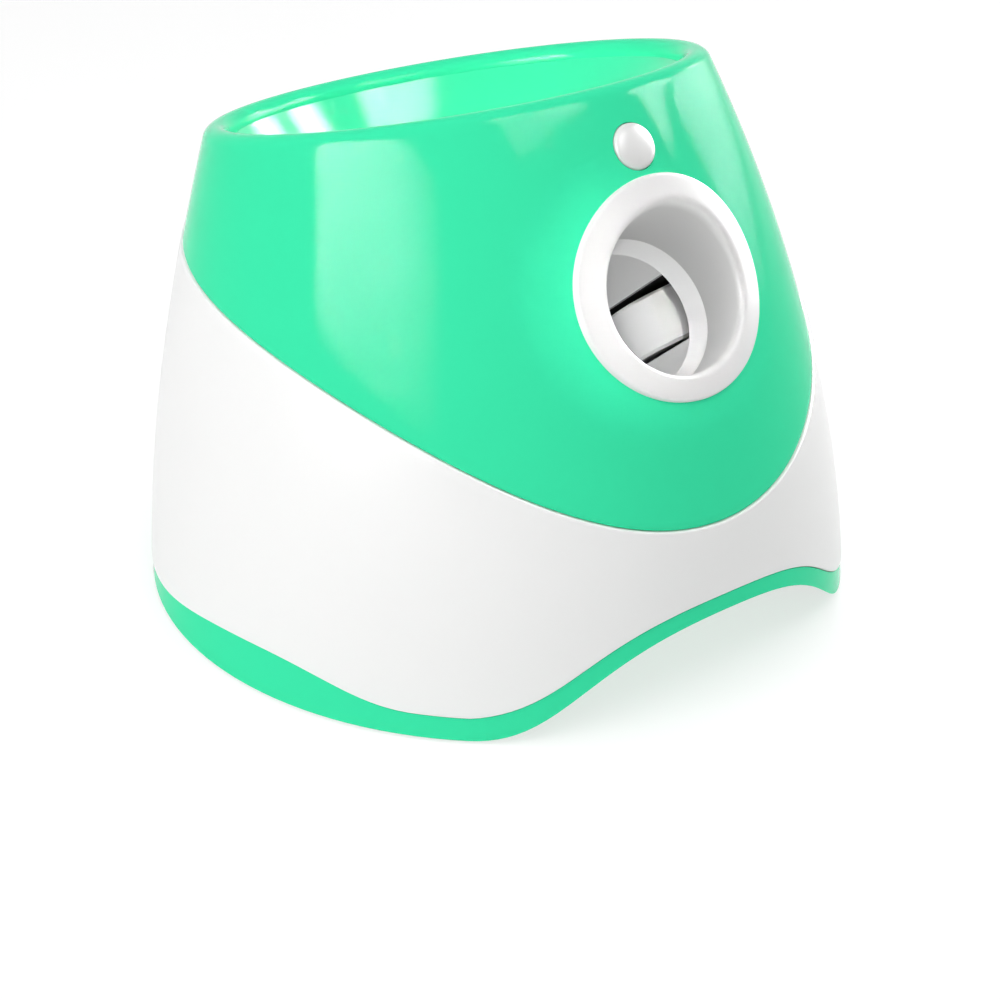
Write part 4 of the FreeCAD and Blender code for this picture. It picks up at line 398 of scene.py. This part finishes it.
def carved(shape, *cutters):
    """The shape with the cutters' space taken out of it."""
    solid = in_scene("solid", as_mesh("solid", shape))
    for cutter in cutters:
        tool = in_scene("tool", as_mesh("tool", cutter))
        step = solid.modifiers.new("carve", "BOOLEAN")
        step.operation = "DIFFERENCE"
        step.solver = "EXACT"
        step.object = tool
        bpy.context.view_layer.update()
        cut = solid.evaluated_get(bpy.context.evaluated_depsgraph_get())
        result = bpy.data.meshes.new_from_object(cut)
        solid.modifiers.clear()
        solid.data = result
        bpy.data.objects.remove(tool)
    left = bmesh.new()
    left.from_mesh(solid.data)
    bpy.data.objects.remove(solid)
    bmesh.ops.remove_doubles(left, verts=left.verts, dist=MERGED)
    return left


def finished(name, shape, material, slot, body, *nodes, sharp=35):
    """The piece as an object: smooth but for its sharp edges, riding on its body."""
    for face in shape.faces:
        face.smooth = True
    for edge in shape.edges:
        edge.smooth = not (edge.is_manifold and edge.calc_face_angle() > math.radians(sharp))
    piece = in_scene(name, as_mesh(name, shape))
    piece.data.materials.append(material)
    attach(piece, body)
    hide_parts(*nodes)


cover_rows = [form_row(over_seam, WALL)]
cover_rows += [form_row(moved(over_seam, rise), inset) for rise, inset in COVER_EDGE]
cover_rows += rows_between(moved(over_seam, COVER_FACE), at_rim, 60, 0.0)
cover_rows += [roll_row(LIP, LIP_LEAN + (math.pi - LIP_LEAN) * step / 16) for step in range(1, 17)]
cover_rows += [
    lambda turn: on_form(1.0, turn, LIP_END, SKIRT_LIFT),
    lambda turn: on_form(1.0, turn, LIP_END - WALL, SKIRT_LIFT),
]
cover_rows += [roll_row(LIP - WALL, math.pi + (LIP_LEAN - math.pi) * step / 8) for step in range(9)]
cover_rows += rows_between(at_rim, over_seam, 20, WALL)[1:]

upper_cover = carved(
    wrap(cover_rows),
    round_cutter(BARREL_HOLE, BARREL_CUT, BARREL_SPOT, BARREL_TILT),
    round_cutter(BUTTON_HOLE, BUTTON_CUT, BUTTON_SPOT, BUTTON_TILT),
)
green = moulding("green_gloss", (0.042, 0.70, 0.36), (0.038, 0.674, 0.345), gloss=0.06, shine=0.03)
finished("upper_cover", upper_cover, green, "green_plastic", "housing", "upper_shell")


# ---------------------------------------------------------------------------
# Body shell.
# White satin moulding round the middle, a little proud of the green parts.
# The rear has a window for the switch and the charging socket.
BODY_PROUD = 0.0006
SEAM_GAP = 0.00025
GAP_SHARE = SEAM_GAP / RIM_HIGH
BODY_EDGE = ((0.0, 0.0005), (0.0006, -0.0003), (0.0025, -BODY_PROUD))  # share from the edge, inset
BODY_FACE, BODY_INSIDE = 0.0038, 0.0013  # share from the edge where the plain wall starts, out and in
FRONT_HIGH, CREST_HIGH, BACK_HIGH = 0.0103, 0.0194, 0.008
RISE_PLACES = (-0.095, -0.075, -0.063, -0.033)  # the curve up to the crest, from front to back
FALL_PLACES = (-0.033, 0.009, 0.033, 0.075)  # the curve down from it
ARCH_BACK = -0.08
ARCH_HIGH, ARCH_FOOT = 0.0466, 0.0093
ARCH_PLACES = (0.0, 0.065, 0.064, 0.108)  # its curve, from the middle out
WINDOW = (0.0724, 0.06, 0.0284)
WINDOW_MIDDLE = (0, 0.15, 0.060)


def height_along(place, places, start, end):
    """Height at a place along a curve that leaves one level and settles on another."""
    low, high = 0.0, 1.0
    for _ in range(30):
        middle = (low + high) / 2
        if bezier(*places, middle) < place:
            low = middle
        else:
            high = middle
    return bezier(start, start, end, end, low)


def arch_height(point):
    """The bell over the arch in front."""
    if abs(point.x) >= ARCH_PLACES[-1]:
        return ARCH_FOOT
    return height_along(abs(point.x), ARCH_PLACES, ARCH_HIGH, ARCH_FOOT)


def band_height(point):
    """The body's wavy lower edge: level at both ends, a crest at the side, a bell over the arch."""
    y = point.y + SET_BACK
    if y < RISE_PLACES[0]:
        side = FRONT_HIGH
    elif y < RISE_PLACES[-1]:
        side = height_along(y, RISE_PLACES, FRONT_HIGH, CREST_HIGH)
    elif y < FALL_PLACES[-1]:
        side = height_along(y, FALL_PLACES, CREST_HIGH, BACK_HIGH)
    else:
        side = BACK_HIGH
    return max(side, arch_height(point)) if y < ARCH_BACK else side


@cache
def over_band(turn):
    return share_at(turn, band_height)


def block(size, middle=(0, 0, 0)):
    shape = bmesh.new()
    bmesh.ops.create_cube(shape, size=1.0)
    bmesh.ops.scale(shape, verts=shape.verts, vec=size)
    bmesh.ops.translate(shape, verts=shape.verts, vec=middle)
    return shape


body_rows = [form_row(moved(over_band, GAP_SHARE), WALL)]
body_rows += [form_row(moved(over_band, GAP_SHARE + rise), inset) for rise, inset in BODY_EDGE]
body_rows += rows_between(moved(over_band, BODY_FACE), moved(over_seam, -BODY_FACE), 50, -BODY_PROUD)[1:-1]
body_rows += [form_row(moved(over_seam, -GAP_SHARE - fall), inset) for fall, inset in reversed(BODY_EDGE)]
body_rows += rows_between(moved(over_seam, -BODY_INSIDE), moved(over_band, BODY_INSIDE), 20, WALL)

body_cover = carved(wrap(body_rows), block(WINDOW, WINDOW_MIDDLE))
white = moulding("white_satin", (0.785, 0.785, 0.782), (0.765, 0.765, 0.762), gloss=0.3, shine=0.024)
finished("body_cover", body_cover, white, "white_plastic", "housing", "body_shell")


# ---------------------------------------------------------------------------
# Base tray, feet and the screws under it.
# The tray is the same green moulding as the upper shell and stands on four
# rubber pads; cross-head screws from below hold the case together.
HEAD_WIDE, HEAD_HIGH, SHANK_WIDE = 0.0028, 0.002, 0.0015
RECESS = ((0.0032, 0.0008, 0.0024), (0.0008, 0.0032, 0.0024))
SCREW_SEAT = 0.001
CASE_SCREW, DOOR_SCREW = 0.026, 0.0079
POSTS = [(-0.128, -0.038), (0.128, -0.038), (-0.120, 0.060), (0.120, 0.060)]
DOOR_TAB = (0.0, 0.1021)


def dressed(material, *names):
    """Gives carried-over pieces their finish."""
    for name in names:
        for material_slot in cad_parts[name].material_slots:
            material_slot.material = material


def drawn_metal():
    """The fine streaks that drawing or turning leaves, and a slow change of tone."""
    group, start, end = new_surface("drawn_metal", {"Gloss": 0.3, "Streak Size": 500.0})
    place = add_node(group, "ShaderNodeTexCoord")
    stretch = add_node(group, "ShaderNodeMapping", {"Scale": (1.0, 1.0, 0.06)})
    streaks = add_node(group, "ShaderNodeTexNoise", {"Detail": 3.0})
    stains = add_node(group, "ShaderNodeTexNoise", {"Scale": 60.0})
    rough = add_node(group, "ShaderNodeMath", {1: 0.25}, operation="MULTIPLY_ADD")
    links = group.links
    links.new(place.outputs["Object"], stretch.inputs["Vector"])
    links.new(stretch.outputs["Vector"], streaks.inputs["Vector"])
    links.new(start.outputs["Streak Size"], streaks.inputs["Scale"])
    links.new(place.outputs["Object"], stains.inputs["Vector"])
    links.new(streaks.outputs["Fac"], rough.inputs[0])
    links.new(start.outputs["Gloss"], rough.inputs[2])
    links.new(rough.outputs[0], end.inputs["Roughness"])
    links.new(streaks.outputs["Fac"], end.inputs["Height"])
    links.new(stains.outputs["Fac"], end.inputs["Tone"])
    return group


DRAWN = drawn_metal()


def metal(name, colour, shade, gloss=0.2, streak_size=500.0):
    """A drawn or turned metal."""
    looks = {"Gloss": gloss, "Streak Size": streak_size}
    material, skin = toned(name, DRAWN, looks, colour, shade, relief=0.00005, strength=0.5)
    skin.inputs["Metallic"].default_value = 1.0
    return material


def turned(outline, steps=96):
    """A piece turned about +Z from its (radius, height) outline."""
    shape = bmesh.new()
    points = [shape.verts.new((radius, 0, height)) for radius, height in outline]
    line = points + [shape.edges.new(pair) for pair in zip(points, points[1:])]
    full = 2 * math.pi
    bmesh.ops.spin(shape, geom=line, cent=(0, 0, 0), axis=(0, 0, 1), angle=full, steps=steps, use_merge=True)
    bmesh.ops.remove_doubles(shape, verts=shape.verts, dist=MERGED)
    bmesh.ops.recalc_face_normals(shape, faces=shape.faces)
    return shape


def cross_head(length):
    """A screw that points up, with its head's lower face at zero and a cross recess in it."""
    outline = [
        (0, 0),
        (HEAD_WIDE - 0.0005, 0),
        (HEAD_WIDE - 0.0002, 0.00015),
        (HEAD_WIDE, 0.0005),
        (HEAD_WIDE, 0.0016),
        (HEAD_WIDE - 0.0001, HEAD_HIGH),
        (SHANK_WIDE, HEAD_HIGH),
        (SHANK_WIDE, length - 0.0008),
        (SHANK_WIDE - 0.0004, length),
        (0, length),
    ]
    return carved(turned(outline, steps=32), *[block(size) for size in RECESS])


def cross_heads(length, spots):
    """Screws of one length at their spots, as one shape."""
    joined = bmesh.new()
    for x, y in spots:
        screw = cross_head(length)
        bmesh.ops.translate(screw, verts=screw.verts, vec=(x, y - SET_BACK, SCREW_SEAT))
        part = as_mesh("screw", screw)
        joined.from_mesh(part)
        bpy.data.meshes.remove(part)
    return joined


dressed(green, "base_tray", "battery_door")
rubber = moulding("foot_rubber", (0.022, 0.022, 0.023), (0.03, 0.03, 0.03), gloss=0.75, pebble=(600.0, 0.06))
dressed(rubber, "rubber_feet")
steel = metal("zinc_steel", (0.62, 0.62, 0.6), (0.48, 0.48, 0.49))
dressed(steel, "bracket_screws")
finished("case_cross_screws", cross_heads(CASE_SCREW, POSTS), steel, "steel", "housing", "case_screws")
finished("door_cross_screw", cross_heads(DOOR_SCREW, [DOOR_TAB]), steel, "steel", "housing", "door_screw")


# ---------------------------------------------------------------------------
# Hopper bowl.
# A separate green moulding that hangs under the lip: an even slope all round,
# then a dish that narrows to the throat over the feed chute.
BOWL_GAP = 0.0001
BOWL_TOP, BOWL_EDGE = -0.0031, -0.0048  # the two ends of its edge, off the rim's plane
BOWL_SLOPE = math.radians(51)
BOWL_SLANT = 0.015
BOWL_WALL = 0.0024
WALL_START = 0.004  # how far down the slope the outer face starts
DISH_PULL = 0.030  # how far the slope's line pulls the dish on
THROAT_WIDE = 0.0266
THROAT_BACK = 0.03652 - SET_BACK
THROAT_HIGH, THROAT_FOOT = 0.133, 0.121
THROAT_PULL = 0.004  # and the throat's


def bowl_out(turn):
    """The level direction square to the rim."""
    return Vector((math.cos(turn) / RIM_WIDE, math.sin(turn) / RIM_DEEP, 0)).normalized()


def bowl_slope(turn, along, out=0.0):
    """A point on the even slope, at a distance down it and out through the wall."""
    top = on_form(1.0, turn, LIP_END + BOWL_GAP, BOWL_TOP)
    level, up = bowl_out(turn), Vector((0, 0, 1))
    return (
        top
        - (level * math.cos(BOWL_SLOPE) + up * math.sin(BOWL_SLOPE)) * along
        + (level * math.sin(BOWL_SLOPE) - up * math.cos(BOWL_SLOPE)) * out
    )


def slope_row(along, out=0.0):
    return lambda turn: bowl_slope(turn, along, out)


def throat_point(turn, height, out=0.0):
    radius = THROAT_WIDE + out
    return Vector((radius * math.cos(turn), THROAT_BACK + radius * math.sin(turn), height))


def dish_row(share, out=0.0):
    """The curve from the foot of the slope down into the throat."""
    return lambda turn: bezier(
        bowl_slope(turn, BOWL_SLANT, out),
        bowl_slope(turn, BOWL_SLANT + DISH_PULL, out),
        throat_point(turn, THROAT_HIGH + THROAT_PULL, out),
        throat_point(turn, THROAT_HIGH, out),
        share,
    )


bowl_rows = [slope_row(BOWL_SLANT * step / 8) for step in range(8)]
bowl_rows += [dish_row(step / 24) for step in range(25)]
bowl_rows += [
    lambda turn: throat_point(turn, THROAT_FOOT),
    lambda turn: throat_point(turn, THROAT_FOOT, BOWL_WALL),
]
bowl_rows += [dish_row(1 - step / 16, BOWL_WALL) for step in range(17)]
back_up = [WALL_START + (BOWL_SLANT - WALL_START) * step / 4 for step in (3, 2, 1, 0)]
bowl_rows += [slope_row(along, BOWL_WALL) for along in back_up]
bowl_rows += [lambda turn: on_form(1.0, turn, LIP_END + BOWL_GAP, BOWL_EDGE), slope_row(0.0)]
bowl_green = moulding("bowl_green", (0.042, 0.70, 0.36), (0.038, 0.674, 0.345), gloss=0.08, shine=0.2)
finished("bowl_dish", wrap(bowl_rows), bowl_green, "green_plastic", "housing", "hopper_bowl")


# ---------------------------------------------------------------------------
# Mouth ring.
# A white satin bezel that hugs the curve of the cover, with a soft round inner
# lip and a neck that guides the ball out of the barrel.
MOUTH_SPOT = Vector((0.0, -0.1064 - SET_BACK, 0.1577))
MOUTH_TILT = math.radians(26)
RING_WIDE = 0.042
RING_PROUD = 0.0024
RING_BORE = 0.030
RING_LIP_DEEP, RING_LIP_REACH = 0.0045, 0.32
RING_RIM_REACH, RING_RIM_PROUD = 0.9, 0.0009
NECK_WALL = 0.0024
NECK_AHEAD = 0.022  # well outside the face
NECK_ROOT, NECK_ROOT_REACH = 0.012, 0.35
PROBE = 0.0005  # a short step to measure a slope by


def axis_at(tilt):
    """The inward direction of an axis that points down at a tilt, and the upward one square to it."""
    return Vector((0, math.cos(tilt), -math.sin(tilt))), Vector((0, math.sin(tilt), math.cos(tilt)))


def outside(point, inset):
    """How far a point stands out of the form, as a share of its width there."""
    low, high = 0.0, 1.1
    for _ in range(28):
        share = (low + high) / 2
        tilt = RIM_TILT * share
        y = point.y + SET_BACK - pulled(0.0, WAIST_BACK, RIM_BACK, share)
        z = point.z - RIM_HIGH * share
        if y * math.sin(tilt) + z * math.cos(tilt) > 0:
            low = share
        else:
            high = share
    wide = pulled(FOOT_WIDE, WAIST_WIDE, RIM_WIDE, share) - inset
    deep = pulled(FOOT_DEEP, WAIST_DEEP, RIM_DEEP, share) - inset
    along = y * math.cos(tilt) - z * math.sin(tilt)
    return math.hypot(point.x / wide, along / deep) - 1


def down_to_form(point, inward, inset):
    """Where a line through a point meets the form drawn in by an inset."""
    step = 0.0
    for _ in range(5):
        here = outside(point + inward * step, inset)
        slope = (outside(point + inward * (step + PROBE), inset) - here) / PROBE
        step -= here / slope
    return point + inward * step


mouth_in, mouth_up = axis_at(MOUTH_TILT)
barrel_in, barrel_up = axis_at(BARREL_TILT)


def neck_line(turn, radius, depth):
    """A point at a depth beyond the barrel's mouth, on a circle about the barrel's axis."""
    across = Vector((1, 0, 0)) * math.cos(turn) + barrel_up * math.sin(turn)
    return BARREL_SPOT + across * radius + barrel_in * depth


@cache
def on_ring(turn, reach, inset):
    """A point of the ring's face, from its hole (0) to its rim (1), on the form drawn in by an inset."""
    hole = down_to_form(neck_line(turn, RING_BORE, -NECK_AHEAD), barrel_in, inset)
    rim = MOUTH_SPOT + (Vector((1, 0, 0)) * math.cos(turn) + mouth_up * math.sin(turn)) * RING_WIDE
    hole_flat = hole - mouth_in * (hole - MOUTH_SPOT).dot(mouth_in)
    return down_to_form(hole_flat.lerp(rim, reach), mouth_in, inset)


def ring_row(reach, inset=-RING_PROUD):
    return lambda turn: on_ring(turn, reach, inset)


def neck_row(radius, depth):
    return lambda turn: neck_line(turn, radius, depth)


def round_row(first, corner, last, share):
    """A row of the round that leaves one row towards a corner and ends at another row."""

    def at(turn):
        middle = corner(turn)
        return first(turn).lerp(middle, share).lerp(middle.lerp(last(turn), share), share)

    return at


def bore_end(turn):
    """Where the bore ends and the soft lip begins, a little behind the face."""
    return on_ring(turn, 0.0, -RING_PROUD) + barrel_in * RING_LIP_DEEP


lip_steps = [step / 10 for step in range(11)]
rim_steps = [step / 6 for step in range(7)]
ring_rows = [neck_row(RING_BORE, 0.0)]
ring_rows += [round_row(bore_end, ring_row(0.0), ring_row(RING_LIP_REACH), share) for share in lip_steps]
ring_rows += [ring_row(reach) for reach in (0.4, 0.5, 0.6, 0.7, 0.8)]
ring_rows += [
    round_row(ring_row(RING_RIM_REACH), ring_row(1.0), ring_row(1.0, -RING_RIM_PROUD), share)
    for share in rim_steps
]
ring_rows += [
    ring_row(1.0, 0.0),
    ring_row(NECK_ROOT_REACH, 0.0),
    neck_row(RING_BORE + NECK_WALL, -NECK_ROOT),
    neck_row(RING_BORE + NECK_WALL, 0.0),
    neck_row(RING_BORE, 0.0),
]
# This white is the body's white plastic made darker to hold down the light that the lamps and the spotlight
# put on the ring: painted shade. The button and the board plugs share it.
white_with_painted_shade = moulding("white_with_painted_shade", (0.655, 0.655, 0.649), (0.635, 0.635, 0.629), gloss=0.3, shine=0.018)
finished("mouth_bezel", wrap(ring_rows, 160), white_with_painted_shade, "white_plastic", "housing", "mouth_ring", sharp=50)


# ---------------------------------------------------------------------------
# Start button.
# A white domed cap with a soft edge, pressed in along its own axis.
# Under it a plunger works a tact switch on a small board.
CAP_OUTLINE = [
    (0, 0.0022),
    (0.0022, 0.00216),
    (0.0044, 0.00202),
    (0.0062, 0.00174),
    (0.0074, 0.00138),
    (0.0082, 0.00092),
    (0.0086, 0.0004),
    (0.0088, -0.0003),
    (0.0088, -0.0034),
    (0.0102, -0.0034),
    (0.0102, -0.0046),
    (0.0022, -0.0046),
    (0.0022, -0.0068),
    (0, -0.0068),
]


def solder_mask():
    """Green lacquer over copper tracks that stand a little proud."""
    material = bpy.data.materials.new("solder_mask")
    material.use_nodes = True
    tree = material.node_tree
    skin = tree.nodes["Principled BSDF"]
    place = add_node(tree, "ShaderNodeTexCoord")
    pattern = {
        "Scale": 180.0,
        "Mortar Size": 0.03,
        "Mortar Smooth": 0.3,
        "Color1": (0.008, 0.09, 0.035, 1),
        "Color2": (0.007, 0.08, 0.03, 1),
        "Mortar": (0.02, 0.2, 0.07, 1),
    }
    tracks = add_node(tree, "ShaderNodeTexBrick", pattern, offset=0.3, squash=1.4, squash_frequency=3)
    bump = add_node(tree, "ShaderNodeBump", {"Distance": 0.00004})
    surface = add_node(tree, "ShaderNodeGroup", {"Gloss": 0.25}, node_tree=MOULDED)
    tree.links.new(place.outputs["Object"], tracks.inputs["Vector"])
    tree.links.new(tracks.outputs["Color"], skin.inputs["Base Color"])
    tree.links.new(tracks.outputs["Fac"], bump.inputs["Height"])
    tree.links.new(bump.outputs["Normal"], skin.inputs["Normal"])
    tree.links.new(surface.outputs["Roughness"], skin.inputs["Roughness"])
    return material


start_cap = stood_on(turned(CAP_OUTLINE), BUTTON_SPOT, BUTTON_TILT)
# The cap takes the ring's darker white, with its painted shade.
finished("start_button", start_cap, white_with_painted_shade, "white_plastic", "button", "button_cap")
black = moulding(
    "black_plastic", (0.02, 0.02, 0.021), (0.032, 0.032, 0.034), gloss=0.42, pebble=(1500.0, 0.05)
)
dressed(black, "switch_plunger", "tact_switch")
dressed(steel, "button_board_screws")
board_green = solder_mask()
dressed(board_green, "button_board")


# ---------------------------------------------------------------------------
# Launch barrel and feed chute.
# Satin white mouldings in line with the mouth; the barrel opens with a funnel
# and is slotted on both sides for the wheels.
barrel_white = moulding(
    "barrel_white", (0.86, 0.86, 0.855), (0.83, 0.83, 0.825), gloss=0.34, pebble=(900.0, 0.03), shine=0.03
)
dressed(barrel_white, "launch_barrel", "feed_chute")


# ---------------------------------------------------------------------------
# Wheels, motors and their frame.
# White hubs carry smooth cast urethane tyres; two can motors under a black
# glass-filled frame turn them.
tyre_white = moulding(
    "cast_urethane", (0.88, 0.88, 0.875), (0.85, 0.85, 0.845), gloss=0.2, pebble=(300.0, 0.01), shine=0.03
)
dressed(tyre_white, "tyre_left", "tyre_right")
dressed(barrel_white, "flywheel_left", "flywheel_right")
frame_black = moulding(
    "filled_nylon", (0.018, 0.018, 0.019), (0.03, 0.03, 0.031), gloss=0.55, pebble=(1100.0, 0.12)
)
dressed(frame_black, "wheel_frame", "wheel_cover", "frame_bracket_left", "frame_bracket_right")
dressed(black, "motor_caps")
motor_steel = metal("motor_can", (0.56, 0.56, 0.55), (0.44, 0.44, 0.45), gloss=0.25, streak_size=900.0)
dressed(motor_steel, "motor_left", "motor_right", "gate_motor")
dressed(steel, "cover_screws", "motor_screws", "motor_shaft_left", "motor_shaft_right")


# ---------------------------------------------------------------------------
# Gate, its gears and the ball sensors.
# A white flap holds the next ball in the chute; a moulded grey gear and a brass
# pinion swing it, and a pair of sensors looks across the chute.
grey = moulding("acetal_grey", (0.42, 0.43, 0.44), (0.37, 0.38, 0.39), gloss=0.38)
brass = metal("turned_brass", (0.78, 0.56, 0.24), (0.66, 0.45, 0.18), gloss=0.15)
dressed(barrel_white, "gate_flap")
dressed(grey, "gate_gear", "gate_bracket")
dressed(brass, "gate_pinion")
dressed(steel, "gate_shaft", "gate_screws")
dressed(black, "ball_sensors")


# ---------------------------------------------------------------------------
# Control board, battery pack and leads.
# The board stands on posts at the rear, the cells lie under the chute, and
# sleeved leads join them to the motors, the gate, the switch and the socket.
dressed(board_green, "control_board")
dressed(steel, "board_screws", "battery_contacts")
dressed(black, "board_components", "battery_box")
# The plugs take the ring's darker white, with its painted shade.
dressed(white_with_painted_shade, "board_plugs")
sleeve_blue = moulding("cell_sleeve", (0.03, 0.05, 0.12), (0.022, 0.036, 0.09), gloss=0.22, coat=0.2)
dressed(sleeve_blue, "battery_cells")
lead_black = moulding(
    "lead_sleeve", (0.02, 0.02, 0.02), (0.035, 0.035, 0.035), gloss=0.5, pebble=(700.0, 0.08)
)
dressed(lead_black, "motor_lead_left", "motor_lead_right", "gate_lead", "button_lead")
dressed(lead_black, "power_lead", "charge_lead", "battery_lead")


# ---------------------------------------------------------------------------
# Rear panel.
# A tub moulded in black plastic, recessed behind the body's window. The power
# rocker and the charging socket are set into it.
dressed(black, "rear_panel", "switch_body", "charging_socket")
rocker_black = moulding(
    "rocker_black", (0.014, 0.014, 0.015), (0.022, 0.022, 0.024), gloss=0.2, pebble=(900.0, 0.01)
)
dressed(rocker_black, "power_rocker")
